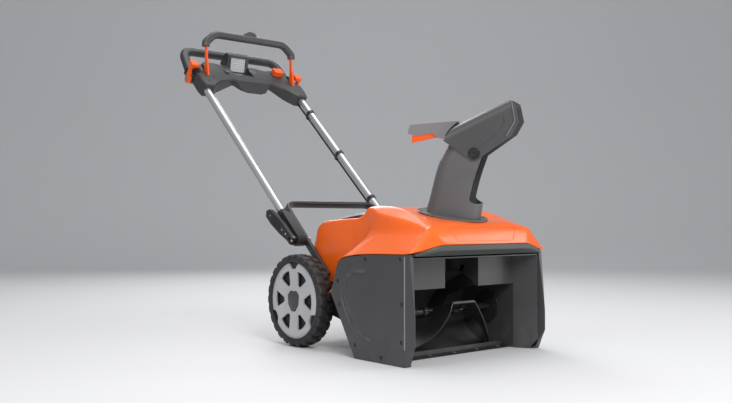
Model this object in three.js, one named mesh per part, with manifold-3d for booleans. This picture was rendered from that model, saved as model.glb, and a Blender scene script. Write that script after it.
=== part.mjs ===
// Single-stage battery snowblower: a rubber-bladed rotor in a funnel-shaped housing throws snow up a
// turning chute with a tilting deflector. Two wheels and a folding tube handle carry it.
// Units are millimetres, +Z is up, the intake faces -Y and the handle leans back towards +Y.
// The origin is on the ground under the middle of the machine's bounding box.
import * as THREE from 'three';
import { ConvexGeometry } from 'three/addons/geometries/ConvexGeometry.js';
import { mergeVertices } from 'three/addons/utils/BufferGeometryUtils.js';
import Module from 'manifold-3d';

const wasm = await Module();
wasm.setup();

// ---------------------------------------------------------------- driving dimensions
const BOX_SHIFT = -110.6; // moves the wheel axle line back so that the origin is mid-length
const HALF_WIDTH = 280; // over the two side plates
const WALL = 3.5; // moulded plastic thickness
const GAP = 0.3; // between touching pieces

const AXLE = { z: 142, radius: 6 };
const TYRE = { radius: 142, inner: 118, inside: 228, outside: 285 };

const AUGER = { y: -345, z: 120, radius: 112, half: 222 };
const CAVITY_RADIUS = 116;
const BARREL_SIDES = 28;
const WHEEL_SIDES = 32;
const BAY_X = 232; // outer faces of the housing's side walls
const DRIVE = { y: -238, z: 243, radius: 15 };
const AUGER_PULLEY_RADIUS = 58;
const IDLER = { y: -248.6, z: 150, radius: 13 };
const STUD_RADIUS = 4.5;
const BELT_X = [-257, -243];

const CHUTE_CENTRE = [0, -405, 402]; // where the turning axis meets the hood's sloping top
const CHUTE_LEAN = 11; // degrees, the axis leans forward
const CHUTE_TURN = 33; // degrees, the discharge side as shown, towards +X
const FLANGE_RADIUS = 105;
const CHUTE_HALF = 63; // half width of the channel
const PIVOT = { y: -50, z: 194 }; // deflector pivot in the chute's own frame
const CHUTE_ARC = 88; // the channel's round rear top, about the pivot

const HANDLE_ORIGIN = [0, 648, 877]; // top of the tubes, under the console
const HANDLE_LEAN = 43; // degrees above horizontal
const TUBE_X = 217;
const TUBE_RADIUS = 14;
const FOLD_S = -807; // fold pivot, measured along the tubes
const RING = { s: 98, t: -24, radius: 17 }; // grip loop pivot
const BAIL_PIVOT = { s: 70, t: 22 };
const BAIL_REACH = 160; // from the pivot line to the middle of the crossbar
const BAIL_ANGLE = 44.3; // degrees off the tubes' line when released
const LAMP = { x: -26, s: 151, t: 32, lean: 57, half: [34, 27] }; // the lens faces forwards
const LEVER_ANGLE = -9; // degrees between the cam levers and the tubes

const BLADE_STARTS = [-17, 163]; // degrees, where each rubber blade's middle stands
const MOTOR = { radius: 40, nose: 26, x: [-227, -132] };
const CONTROLLER = { x: [20, 130], y: [-190, -90], z: [135, 178] };
const PACK = { x: [5, 116], y: [-212, -26], z: [233, 318] };
const LID_AXIS = { y: -231, z: 417 };
const LID_PIN = { radius: 3, half: 156 };
const TRIGGER_PIN = { y: 62, z: 230 }; // in the chute's own frame, as PIVOT is
const CABLE_RADIUS = 3.5;
const BUTTONS = [
  { name: 'start_button', x: 150, s: 130, half: [22, 17] },
  { name: 'lamp_button', x: -100, s: 96, half: [9, 9] },
];

// ---------------------------------------------------------------- solid helpers
const rad = THREE.MathUtils.degToRad;
const mirrored = (points) => points.concat(points.map(([x, z]) => [-x, z]).reverse());
const arc = (cx, cy, r, from, to, steps) =>
  Array.from({ length: steps + 1 }, (_, i) => {
    const a = rad(from + ((to - from) * i) / steps);
    return [cx + r * Math.cos(a), cy + r * Math.sin(a)];
  });

// A closed geometry as a manifold solid, turned outwards if its faces point in.
function solid(geometry) {
  const bare = geometry.index ? geometry.toNonIndexed() : geometry.clone();
  bare.deleteAttribute('normal');
  bare.deleteAttribute('uv');
  const merged = mergeVertices(bare, 1e-3);
  const make = (triVerts) =>
    new wasm.Manifold(
      new wasm.Mesh({ numProp: 3, vertProperties: merged.attributes.position.array, triVerts }),
    );
  const triVerts = new Uint32Array(merged.index.array);
  const made = make(triVerts);
  return made.volume() > 0 ? made : make(triVerts.slice().reverse());
}

const join = (first, ...rest) => rest.reduce((a, b) => a.add(b), first);
const cut = (first, ...rest) => rest.reduce((a, b) => a.subtract(b), first);
const common = (a, b) => a.intersect(b);

function block([x0, x1], [y0, y1], [z0, z1]) {
  const box = new THREE.BoxGeometry(x1 - x0, y1 - y0, z1 - z0);
  return solid(box.translate((x0 + x1) / 2, (y0 + y1) / 2, (z0 + z1) / 2));
}

function rodX(radius, [x0, x1], y, z, sides = 32) {
  const rod = new THREE.CylinderGeometry(radius, radius, x1 - x0, sides);
  return solid(rod.rotateZ(Math.PI / 2).translate((x0 + x1) / 2, y, z));
}

function rodZ(radius, [z0, z1], x, y, sides = 32) {
  const rod = new THREE.CylinderGeometry(radius, radius, z1 - z0, sides);
  return solid(rod.rotateX(Math.PI / 2).translate(x, y, (z0 + z1) / 2));
}

const shapeOf = (outline) => new THREE.Shape(outline.map(([a, b]) => new THREE.Vector2(a, b)));

// An outline in (y, z) pulled along X.
function slabX(outline, [x0, x1]) {
  const slab = new THREE.ExtrudeGeometry(shapeOf(outline), { depth: x1 - x0, bevelEnabled: false });
  const basis = new THREE.Matrix4().makeBasis(
    new THREE.Vector3(0, 1, 0),
    new THREE.Vector3(0, 0, 1),
    new THREE.Vector3(1, 0, 0),
  );
  return solid(slab.applyMatrix4(basis).translate(x0, 0, 0));
}

// An outline in (x, y) pulled along Z, with an optional bevel outside it.
function slabZ(outline, [z0, z1], bevel = 0) {
  const slab = new THREE.ExtrudeGeometry(shapeOf(outline), {
    depth: z1 - z0 - 2 * bevel,
    bevelEnabled: bevel > 0,
    bevelSize: bevel,
    bevelThickness: bevel,
    bevelSegments: 1,
  });
  return solid(slab.translate(0, 0, z0 + bevel));
}

const hull = (points) => solid(new ConvexGeometry(points.map((p) => new THREE.Vector3(...p))));

// A closed profile of [radius, height] turned about Z.
function turned(profile, sides = 40) {
  const closed = [...profile, profile[0]].map(([r, h]) => new THREE.Vector2(r, h));
  return solid(new THREE.LatheGeometry(closed, sides).rotateX(Math.PI / 2));
}

// The same about X, with the height along X.
const turnedX = (profile, y, z, sides = 40) =>
  turned(profile, sides).rotate([0, 90, 0]).translate([0, y, z]);

// A skin through sections of equal length, each { y, points: [x, z] }, capped at both ends.
function loft(sections, place = (y, x, z) => [x, y, z]) {
  const count = sections[0].points.length;
  const position = sections.flatMap(({ y, points }) => points.flatMap(([x, z]) => place(y, x, z)));
  const index = [];
  for (let s = 0; s < sections.length - 1; s++) {
    for (let i = 0; i < count; i++) {
      const a = s * count + i;
      const b = s * count + ((i + 1) % count);
      index.push(a, b, a + count, b, b + count, a + count);
    }
  }
  const cap = ({ points }, base, inOrder) => {
    const flat = points.map(([x, z]) => new THREE.Vector2(x, z));
    const turn = Math.sign(THREE.ShapeUtils.area(flat));
    for (const [a, b, c] of THREE.ShapeUtils.triangulateShape(flat, [])) {
      const same = Math.sign(THREE.ShapeUtils.area([flat[a], flat[b], flat[c]])) === turn;
      index.push(base + a, base + (same === inOrder ? b : c), base + (same === inOrder ? c : b));
    }
  };
  cap(sections[0], 0, false);
  cap(sections.at(-1), (sections.length - 1) * count, true);
  const geometry = new THREE.BufferGeometry();
  geometry.setAttribute('position', new THREE.Float32BufferAttribute(position, 3));
  geometry.setIndex(index);
  return solid(geometry);
}

// A route of [x, y, z] corners with its inner corners rounded.
function roundedRoute(corners, radius, steps = 4) {
  const p = corners.map((q) => new THREE.Vector3(...q));
  const bends = p.slice(1, -1).flatMap((corner, i) => {
    const into = corner.clone().add(p[i].clone().sub(corner).setLength(radius));
    const out = corner.clone().add(p[i + 2].clone().sub(corner).setLength(radius));
    return new THREE.QuadraticBezierCurve3(into, corner, out).getPoints(steps);
  });
  return [p[0], ...bends, p.at(-1)];
}

// An oval bar along a route that bends in the (x, y) plane: half is its half width and half height.
function bentBar(route, half, sides = 10) {
  const centreLine = route.map(({ x, y }) => new THREE.Vector2(x, y));
  const rows = route.map((centre, i) => {
    const before = centreLine[i].clone().sub(centreLine[Math.max(i - 1, 0)]).normalize();
    const after = centreLine[Math.min(i + 1, route.length - 1)].clone().sub(centreLine[i]).normalize();
    const along = before.clone().add(after).normalize();
    const stretch = 1 / Math.max(along.dot(i === 0 ? after : before), 0.5);
    const across = new THREE.Vector2(-along.y, along.x).multiplyScalar(stretch);
    return { y: { centre, across }, points: arc(0, 0, 1, 0, 360 - 360 / sides, sides - 1) };
  });
  return loft(rows, ({ centre, across }, a, b) => [
    centre.x + across.x * a * half[0],
    centre.y + across.y * a * half[0],
    centre.z + b * half[1],
  ]);
}

// An eight-sided cable along a curve.
function sweep(extrudePath, steps) {
  const section = shapeOf(arc(0, 0, CABLE_RADIUS, 0, 315, 7));
  return solid(new THREE.ExtrudeGeometry(section, { steps, extrudePath, bevelEnabled: false }));
}

// An outline with convex corners, drawn in by a distance.
function inset(outline, distance) {
  const area = THREE.ShapeUtils.area(outline.map(([a, b]) => new THREE.Vector2(a, b)));
  const side = Math.sign(area) * distance;
  const line = (a, b) => {
    const length = Math.hypot(b[0] - a[0], b[1] - a[1]);
    const d = [(b[0] - a[0]) / length, (b[1] - a[1]) / length];
    return { p: [a[0] - d[1] * side, a[1] + d[0] * side], d };
  };
  return outline.map((corner, i) => {
    const before = line(outline.at(i - 1), corner);
    const after = line(corner, outline[(i + 1) % outline.length]);
    const cross = before.d[0] * after.d[1] - before.d[1] * after.d[0];
    const gap = [after.p[0] - before.p[0], after.p[1] - before.p[1]];
    const k = (gap[0] * after.d[1] - gap[1] * after.d[0]) / cross;
    return [before.p[0] + before.d[0] * k, before.p[1] + before.d[1] * k];
  });
}

// ---------------------------------------------------------------- materials
const finish = (color, roughness, metalness = 0) =>
  new THREE.MeshStandardMaterial({ color, roughness, metalness });
const ORANGE = finish(0xf26419, 0.35);
const CHARCOAL = finish(0x3c3b3d, 0.55);
const BLACK_PLASTIC = finish(0x1d1d1f, 0.6);
const MID_GREY = finish(0x5a595b, 0.5);
const BAIL_GREY = finish(0x58585a, 0.45);
const LIGHT_GREY = finish(0x828082, 0.5);
const RUBBER = finish(0x151516, 0.85);
const SILVER = finish(0xc4c6c9, 0.35, 0.9);
const RIM_SILVER = finish(0xb5b5b8, 0.45, 0.4);
const STEEL = finish(0x8a8c8f, 0.4, 0.9);
const LENS = finish(0xf2f2f0, 0.2);

function part(parent, name, shape, material) {
  const { vertProperties, triVerts } = shape.getMesh();
  const geometry = new THREE.BufferGeometry();
  geometry.setAttribute('position', new THREE.BufferAttribute(vertProperties, 3));
  geometry.setIndex(new THREE.BufferAttribute(triVerts, 1));
  geometry.computeVertexNormals();
  const mesh = new THREE.Mesh(geometry, material);
  mesh.name = name;
  parent.add(mesh);
}

function frameAt(parent, [x, y, z], turnX = 0, turnZ = 0) {
  const group = new THREE.Group();
  group.position.set(x, y, z);
  group.rotation.set(rad(turnX), 0, rad(turnZ));
  parent.add(group);
  return group;
}

const sides = [
  { name: 'right', sign: -1 },
  { name: 'left', sign: 1 },
];
const span = (sign, a, b) => (sign > 0 ? [a, b] : [-b, -a]);

// ---------------------------------------------------------------- intake housing and its covers
const SIDE_OUTLINE = [
  [-294, 0], [-500, 0], [-537, 68], [-515, 297], [-343, 293], [-255, 284], [-232, 277], [-218, 268],
  [-210, 250], [-186, 177],
];
const MOUTH_BACK = -444;
const MOUTH_TOP = 284;

// The flared mouth, 259 half width at the front and 228 where it meets the rotor's chamber.
const mouth = (grow) =>
  hull(
    [-1, 1].flatMap((s) =>
      [-10 - grow, MOUTH_TOP + grow].flatMap((z) => [
        [s * (279 + grow), -560, z],
        [s * (228 + grow), MOUTH_BACK, z],
      ]),
    ),
  );

function chuteAxisRod(radius, range, sideCount = 32) {
  return rodZ(radius, range, 0, 0, sideCount).rotate([CHUTE_LEAN, 0, 0]).translate(CHUTE_CENTRE);
}

function augerHousing() {
  const wallOutline = [
    [MOUTH_BACK, 0.8], [-300, 0.8], [-250, 40], [-236, 120], [-250, 190], [-320, 287.5],
    [MOUTH_BACK, 287.5],
  ];
  const sideWalls = sides.map(({ sign }) => slabX(wallOutline, span(sign, 228, BAY_X)));
  const barrel = rodX(CAVITY_RADIUS + WALL, [-BAY_X, BAY_X], AUGER.y, AUGER.z, BARREL_SIDES);
  const floor = block([-BAY_X, BAY_X], [-395, -300], [0.8, 30]);
  const panel = block([-BAY_X, BAY_X], [MOUTH_BACK - 1, MOUTH_BACK + WALL], [150, 287.5]);
  const frontLimit = slabX(
    [[MOUTH_BACK, 1], [-490, 1], [-512, 30], [-512, 287.5], [MOUTH_BACK, 287.5]],
    [-262, 262],
  );
  const cheeks = common(mouth(WALL), frontLimit);
  const chimney = block([-74, 74], [MOUTH_BACK, -308], [190, 292]);
  const collar = chuteAxisRod(90, [-150, -93], 24);
  const hollow = join(
    rodX(CAVITY_RADIUS, [-228, 228], AUGER.y, AUGER.z, BARREL_SIDES),
    mouth(0),
    block([-70, 70], [MOUTH_BACK - 10, -312], [110, MOUTH_TOP]),
    block([-228, 228], [-560, -396], [-10, 196]),
    chuteAxisRod(75, [-170, -80], 24),
  );
  const shell = join(barrel, floor, panel, cheeks, chimney, collar, ...sideWalls);
  const bearingHoles = rodX(26, [-260, 260], AUGER.y, AUGER.z, 20);
  const idlerStud = rodX(STUD_RADIUS, [-260, -230], IDLER.y, IDLER.z, 12);
  const motorHole = rodX(9, [-240, -220], DRIVE.y, DRIVE.z, 16);
  return join(cut(shell, hollow, bearingHoles, motorHole), idlerStud);
}

function sideCover(sign) {
  const tray = slabX(SIDE_OUTLINE, span(sign, BAY_X + GAP, HALF_WIDTH));
  const inside = slabX(inset(SIDE_OUTLINE, 3), span(sign, BAY_X, HALF_WIDTH - 3));
  const bevelPlan = [[HALF_WIDTH, -499], [300, -499], [300, -560], [262.7, -560]];
  const bevel = slabZ(bevelPlan.map(([x, y]) => [sign * x, y]), [-10, 320]);
  const lip = slabX(SIDE_OUTLINE, span(sign, 262.6, HALF_WIDTH));
  const lipInside = block(span(sign, 200, 300), [-508, -100], [-10, 320]);
  const trimRoom = block(span(sign, 200, 262.3), [-600, -501], [-10, 320]);
  const shell = join(cut(tray, inside, trimRoom), cut(lip, lipInside));
  return cut(shell, bevel, mouth(WALL + GAP));
}

const scraper = () => slabX([[-396.4, 0], [-396.4, 4], [-424, 3], [-428, 0]], [-227.6, 227.6]);

function rearTray() {
  const outline = [[-250, 55], [-60, 98], [28, 102], [48, 148], [48, 196], [-235, 196]];
  const inner = [[-240, 62], [-61, 102], [25, 106], [44, 149], [44, 220], [-212, 220], [-212, 80]];
  const walls = cut(slabX(outline, [-185, 185]), slabX(inner, [-181, 181]));
  const bosses = sides.map(({ sign }) => rodX(14, span(sign, 160, 185), 0, AXLE.z, 16));
  return cut(
    join(walls, ...bosses),
    rodX(CAVITY_RADIUS + WALL + GAP, [-200, 200], AUGER.y, AUGER.z, BARREL_SIDES),
    rodX(AXLE.radius + GAP, [-200, 200], 0, AXLE.z, 16),
  );
}

// ---------------------------------------------------------------- hood
// Each row: y, height on the centre line, then the half section [x, z] of the basin's edge, the ridge,
// the upper crease, the lower crease and the skirt, and the height of the bottom edge.
const HOOD_ROWS = [
  [-541, 325.5, [[120, 325.5], [150, 325.3], [168, 325], [172, 324.6], [176, 324.2]], 323.4],
  [-519, 372, [[144, 372], [190, 370], [209, 368], [226, 350], [279, 303]], 300.4],
  [-500, 383.5, [[135, 384], [190, 376], [204, 370], [214, 355.5], [280, 300.5]], 298.4],
  [-450, 393, [[131, 394], [180, 397], [203, 380], [213, 355.5], [280, 299]], 297.3],
  [-400, 403, [[130, 403], [168, 415], [203, 391], [212, 355.5], [280, 298.2]], 296.5],
  [-310, 420, [[129, 421], [158, 431], [200, 408], [206, 355], [280, 294.4]], 292.7],
  [-262, 429, [[129, 430], [158, 432], [189, 424], [196, 350], [280, 288]], 286.4],
  [-243, 427, [[129, 428], [158, 430], [184, 427], [190, 336], [280, 284.6]], 283.2],
  [-218, 404, [[129, 404], [158, 409], [183, 408], [187, 322], [280, 272.2]], 270.6],
  [-209, 400, [[129, 400], [158, 404], [183, 403], [186, 312], [280, 253]], 251.6],
  [-187, 395, [[129, 395], [158, 397], [183, 396], [185, 285], [280, 184]], 182.4],
  [-178, 394, [[129, 394], [158, 396], [183, 395], [184.5, 275], [280, 180]], 178.4],
  [-176, 394, [[129, 394], [158, 396], [183, 395], [184, 275], [184, 203]], 200],
  [-100, 392, [[129, 392], [158, 393], [182, 391], [184, 300], [184, 203]], 200],
  [-27, 388, [[129, 388], [158, 388], [180, 386], [184, 300], [184, 203]], 200],
  [10, 375, [[129, 375], [158, 374], [177, 371], [183, 300], [183, 206]], 203],
  [32, 347, [[129, 347], [152, 345], [168, 340], [179, 300], [181, 222]], 219],
  [45, 303, [[129, 303], [148, 302], [163, 300], [172, 285], [175, 262]], 258],
];

function hoodSection([y, top, half, bottom], thickness) {
  const drop = thickness > 0 ? 60 : 0;
  const run = half.map(([x, z]) => [x - thickness, z - thickness]);
  run.unshift([0.5, top - thickness]);
  run.push([run.at(-1)[0], bottom - drop]);
  return { y, points: mirrored(run) };
}

function hood() {
  const outer = loft(HOOD_ROWS.map((row) => hoodSection(row, 0)));
  const innerRows = HOOD_ROWS.map(([y, top, half, bottom], i) => {
    if (i === 0) return [y + 5, top, half, bottom];
    if (i === HOOD_ROWS.length - 1) return [y - WALL, top, half, bottom];
    return [i === 1 ? y + 2 : y, top, half, bottom];
  }).filter(([y]) => y !== -178);
  innerRows.find(([y]) => y === -187)[0] = -183;
  const inner = loft(innerRows.map((row) => hoodSection(row, WALL)));
  const lidHole = block([-152, 152], [-238, -24], [340, 460]);
  const lidFrame = cut(block([-155, 155], [-241, -21], [374, 460]), lidHole);
  const skin = join(cut(outer, inner), common(lidFrame, outer));
  const hingeHole = rodX(LID_PIN.radius + GAP, [-160, 160], LID_AXIS.y, LID_AXIS.z, 12);
  return cut(skin, lidHole, chuteAxisRod(94, [-60, 40], 28), hingeHole);
}

function hoodTrim() {
  const rear = [[-519.6, 299.2], [-503, 297], [-503, 293], [-524, 292]];
  const station = (x, front) => ({ y: x, points: [...front, ...rear] });
  const outerEnd = [[-521, 293.5], [-523, 296.5], [-521, 299]];
  const shoulder = [[-543, 304], [-544, 310], [-536, 315.6]];
  const crown = [[-544, 307], [-545, 319], [-541.2, 321.6]];
  return loft(
    [station(-261, outerEnd), station(-205, shoulder), station(-172, crown), station(172, crown),
      station(205, shoulder), station(261, outerEnd)],
    (x, y, z) => [x, y, z],
  );
}

// ---------------------------------------------------------------- battery bay, lid and electrics
function batteryBay() {
  const box = block([-124, 124], [-228, 8], [228, 362]);
  return cut(box, block([-120, 120], [-224, 4], [232, 400]), block([-90, 90], [-20, 30], [330, 400]));
}

function batteryPack(sign) {
  const body = block(span(sign, ...PACK.x), PACK.y, PACK.z);
  const grip = block(span(sign, 30, 92), [-180, -60], [PACK.z[1], PACK.z[1] + 18]);
  return join(body, grip);
}

function batteryLid() {
  const crownSection = (y, top) => ({
    y,
    points: mirrored([[0.5, top], [90, top - 2], [132, top - 8], [149, top - 17], [149.5, 384]]),
  });
  const rows = [[-235, 408], [-226, 423], [-200, 424], [-140, 420], [-80, 412], [-45, 404], [-27, 401.5]];
  const outer = loft(rows.map(([y, top]) => crownSection(y, top)));
  const inner = outer.scale([0.965, 0.97, 1]).translate([0, -3.5, -3.5]);
  const floorGap = block([-144, 144], [-231, -31], [370, 386]);
  const roll = rodX(7, [-148, 148], LID_AXIS.y, LID_AXIS.z, 20);
  const hollow = join(common(inner, block([-160, 160], [-222, 0], [370, 440])), floorGap);
  const pinHole = rodX(LID_PIN.radius + GAP, [-160, 160], LID_AXIS.y, LID_AXIS.z, 12);
  return cut(join(cut(outer, hollow), roll), pinHole);
}

function motor() {
  const { radius, nose, x: [back, front] } = MOTOR;
  const profile = [
    [0, back], [nose, back], [radius, back + 5], [radius, front - 8], [nose, front], [0, front],
  ];
  return turnedX(profile, DRIVE.y, DRIVE.z, 24);
}

function pulley(radius, bore, y, z, [x0, x1], sideCount) {
  const mid = (x0 + x1) / 2;
  const profile = [[bore, x0], [radius + 3, x0], [radius + 3, x0 + 2], [radius - 2, mid - 3],
    [radius - 2, mid + 3], [radius + 3, x1 - 2], [radius + 3, x1], [bore, x1]];
  return turnedX(profile, y, z, sideCount);
}

function idler() {
  const bore = STUD_RADIUS + 0.2;
  const [x0, x1] = BELT_X;
  return turnedX([[bore, x0], [IDLER.radius, x0], [IDLER.radius, x1], [bore, x1]], IDLER.y, IDLER.z, 20);
}

// Outer hull of the two pulleys' pitch circles, as a thin closed band.
function driveBelt() {
  const rounds = [[AUGER.y, AUGER.z, AUGER_PULLEY_RADIUS], [DRIVE.y, DRIVE.z, DRIVE.radius]];
  const edges = BELT_X.map((x, i) => x + (i === 0 ? 5 : -5));
  const loop = (extra) =>
    hull(
      rounds.flatMap(([y, z, r]) =>
        arc(y, z, r + extra, 0, 345, 23).flatMap(([a, b]) => edges.map((x) => [x, a, b])),
      ),
    );
  return cut(loop(2.2), loop(-0.4));
}

// ---------------------------------------------------------------- rotor
// One rubber blade: a flat scoop in the middle that trails back towards both ends.
function blade(start) {
  const along = 28;
  const half = AUGER.half - 6;
  const rows = Array.from({ length: along + 1 }, (_, i) => {
    const x = -half + (2 * half * i) / along;
    const reach = Math.max(0, Math.abs(x) - 48) / (half - 48);
    const turn = rad(start + 105 * reach ** 0.8);
    const low = 30 + 40 * Math.min(1, reach * 3);
    const corner = (r, h) => [
      r * Math.cos(turn) - h * Math.sin(turn),
      r * Math.sin(turn) + h * Math.cos(turn),
    ];
    const corners = [[low, -4], [AUGER.radius, -4], [AUGER.radius, 4], [low, 4]];
    return { y: x, points: corners.map(([r, h]) => corner(r, h)) };
  });
  return loft(rows, (x, y, z) => [x, y, z]).translate([0, AUGER.y, AUGER.z]);
}

function augerShaft() {
  const arm = ([x0, x1], turn, r0, r1) =>
    block([x0, x1], [r0, r1], [4.4, 10.4]).rotate([turn, 0, 0]);
  const arms = BLADE_STARTS.flatMap((start) => [
    arm([-42, -28], start, 4, 74),
    arm([28, 42], start, 4, 74),
    block([-46, 46], [34, 50], [4.4, 12.4]).rotate([start, 0, 0]),
  ]);
  const hubs = sides.map(({ sign }) => rodX(46, span(sign, 217.5, 220.5), 0, 0, 20));
  const shaft = rodX(10, [-259, 236], 0, 0, 16);
  return join(shaft, ...arms, ...hubs).translate([0, AUGER.y, AUGER.z]);
}

const augerBearing = (sign) =>
  cut(
    rodX(25.7, span(sign, 222, 238), AUGER.y, AUGER.z, 20),
    rodX(10.3, [-250, 250], AUGER.y, AUGER.z, 16),
  );

// ---------------------------------------------------------------- discharge chute, in its own frame
const chuteRing = () =>
  turned([[76, -91], [82, -91], [82, -9], [93, -9], [93, -1.2], [76, -1.2]], 24);

// D-shaped plan of the channel: half width, front corners at yc, round rear reaching yr.
function channelPlan(half, yc, yr, bulge) {
  const rear = arc(0, 0, 1, 0, 75, 4).map(([c, s]) => [half * c ** 0.8, yr - 48 + 48 * s]);
  return mirrored([[0.5, yc - bulge], [half * 0.55, yc - bulge * 0.8], [half, yc], ...rear, [0.5, yr]]);
}

function chuteBody() {
  const rearAt = (z) => PIVOT.y + Math.sqrt(CHUTE_ARC ** 2 - (z - PIVOT.z) ** 2);
  const levels = [
    [0.6, -50, 78], [32, -50, 72], [48, -50, 70], [139, -62, 59], [206, -75, 38],
    ...[226, 244, 258, 268].map((z) => [z, -75, rearAt(z)]),
  ];
  const stack = (shrink) =>
    loft(
      levels.map(([z, yc, yr], i) => ({
        y: z + (i === 0 ? -4 * shrink : 0),
        points: channelPlan(CHUTE_HALF - shrink, yc + shrink, yr - shrink, 34),
      })),
      (z, x, y) => [x, y, z],
    );
  const window = slabX(
    [[-200, 50], [-66, 50], [-52, 58], [-58, 121], [-72, 189], [-74, 206], [-40, 226], [0, 267],
      [0, 320], [-200, 320]],
    [-90, 90],
  );
  const flange = turned([[40, 0.6], [FLANGE_RADIUS, 0.6], [FLANGE_RADIUS, 5.6], [40, 5.6]], 32);
  const screwHoles = rodX(4.4, [-90, 90], PIVOT.y, PIVOT.z, 12);
  const shell = cut(join(stack(0), flange), stack(WALL), rodZ(41, [-5, 5.7], 0, 0, 16));
  return cut(shell, window, screwHoles);
}

// The deflector cap: two cheeks, a round rear about the pivot and a long roof with softened corners,
// open below and in front.
const ROOF = { y: 3.4, z: 273.2, slope: 33.7 };

function deflectorBody() {
  const underRoof = (half, drop) => {
    const corner = [[half - 22, -1], [half - 8, -8], [half, -24]].map(([x, t]) => [x, t - drop]);
    const section = mirrored([[0.5, -drop], ...corner, [half, -420]]);
    return slabZ(section, [-180, 320]).rotate([90 - ROOF.slope, 0, 0]).translate([0, ROOF.y, ROOF.z]);
  };
  const outline = [
    ...arc(PIVOT.y, PIVOT.z, 95.5, 14, 56, 4), [-120, 355], [-143, 346], [-161, 297], [-146, 257],
    [-72, 190], ...arc(PIVOT.y, PIVOT.z, 20, 200, 290, 3),
  ];
  const outer = common(hull(outline.flatMap(([y, z]) => [[68, y, z], [-68, y, z]])), underRoof(68, 0));
  const inner = [...arc(PIVOT.y, PIVOT.z, 91.5, 5, 56, 4), [-176, 390], [-260, 300], [-120, 120]];
  const hollow = common(slabX(inner, [-64.2, 64.2]), underRoof(64.2, WALL));
  return cut(outer, hollow, rodX(4.4, [-90, 90], PIVOT.y, PIVOT.z, 12));
}

const deflectorScrew = (sign) =>
  join(
    rodX(4.1, span(sign, 58, 70), PIVOT.y, PIVOT.z, 12),
    rodX(17, span(sign, 68 + GAP, 74), PIVOT.y, PIVOT.z, 20),
    rodX(8, span(sign, 54, 59), PIVOT.y, PIVOT.z, 12),
  );

// The grip stands against the deflector's round rear, hollow below to take the trigger.
function chuteGrip() {
  const outline = [
    ...arc(PIVOT.y, PIVOT.z, 95.5 + 3 * GAP, 18, 52, 3), [20, 277], [158, 248], [162, 222], [149, 219],
    [88, 232.5], [72, 222], [56, 220],
  ];
  const pocket = slabX([[54, 200], [154, 200], [154, 228], [82, 241], [54, 241]], [-13.6, 13.6]);
  return cut(slabX(outline, [-17, 17]), pocket, rodX(2.6, [-18, 18], TRIGGER_PIN.y, TRIGGER_PIN.z, 12));
}

function chuteTrigger() {
  const outline = [
    [148, 217.6], [147, 196], [138, 199], [84, 219], [62, 223.5], [57, 228], [60, 234.6], [82, 232.6],
  ];
  const trunnions = rodX(2.2, [-16.5, 16.5], TRIGGER_PIN.y, TRIGGER_PIN.z, 12);
  return join(slabX(outline, [-13, 13]), trunnions);
}

// ---------------------------------------------------------------- wheels
const WINDOW_ANGLES = [0, 60, 120, 180, 240, 300];
const NOTCH_ANGLES = [90, 210, 330];

function tyre(sign) {
  const { radius, inner, inside, outside } = TYRE;
  const profile = [
    [inner, inside + 4], [inner + 12, inside], [radius - 3, inside + 3], [radius, inside + 10],
    [radius, outside - 10], [radius - 3, outside - 3], [inner + 10, outside], [inner, outside - 3],
  ];
  return turnedX(profile.map(([r, x]) => [r, sign * x]), 0, AXLE.z, WHEEL_SIDES);
}

function wheelWindows(range) {
  return WINDOW_ANGLES.map((angle) => {
    const point = (r, a) => [r * Math.cos(rad(angle + a)), AXLE.z + r * Math.sin(rad(angle + a))];
    return slabX([point(50, -7), point(93, -17), point(96, 0), point(93, 17), point(50, 7)], range);
  });
}

function wheelCore(sign) {
  const profile = [[7, 233], [24, 233], [24, 262], [108, 266], [108, 238], [117.6, 238], [117.6, 275],
    [7, 275]];
  const disc = turnedX(profile.map(([r, x]) => [r, sign * x]), 0, AXLE.z, WHEEL_SIDES);
  return cut(disc, ...wheelWindows(span(sign, 268, 290)));
}

const SHIELD = [
  [-27, 16], [-14, 29], [0, 27], [14, 29], [27, 16], [24, -12], [9, -32], [-9, -32], [-24, -12],
];
const shieldAt = (scale) => SHIELD.map(([y, z]) => [y * scale, AXLE.z + z * scale]);

function rimFace(sign) {
  const profile = [[12, 275 + GAP], [117.6, 275 + GAP], [117.6, 279], [106, 283], [60, 279], [12, 281]];
  const disc = turnedX(profile.map(([r, x]) => [r, sign * x]), 0, AXLE.z, WHEEL_SIDES);
  const range = span(sign, 270, 290);
  const notches = NOTCH_ANGLES.map((angle) => {
    const outline = [[97, -13], [97, 13], [108, 20], [125, 31], [125, -31], [108, -20]];
    const c = Math.cos(rad(angle));
    const s = Math.sin(rad(angle));
    return slabX(outline.map(([a, b]) => [a * c - b * s, AXLE.z + a * s + b * c]), range);
  });
  return cut(disc, ...wheelWindows(range), ...notches, slabX(shieldAt(1.04), range));
}

function hubCap(sign) {
  const face = slabX(shieldAt(1), span(sign, 275 + GAP, 283));
  const ring = (x, scale) => shieldAt(scale).map(([y, z]) => [sign * x, y, z]);
  return join(face, hull([...ring(282, 0.96), ...ring(285, 0.7)]));
}

// ---------------------------------------------------------------- lower frame and folding handle
function frameHoop() {
  const bar = bentBar(
    roundedRoute([[-193, -968, 0], [-193, -641, 4], [193, -641, 4], [193, -968, 0]], 42),
    [7, 13],
  );
  return cut(bar, rodX(5, [-220, 220], FOLD_S, 0, 16));
}

function foldKnuckle(sign) {
  const outline = [...arc(FOLD_S, 0, 20, 90, 270, 10), [-700, -19], [-690, -17], [-690, 17], [-700, 19]];
  const body = slabX(outline, span(sign, 201.2, 233));
  const bore = tubeRod(TUBE_RADIUS + GAP, [-777, -600], sign);
  return cut(body, bore, rodX(5, [-260, 260], FOLD_S, 0, 16));
}

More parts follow.
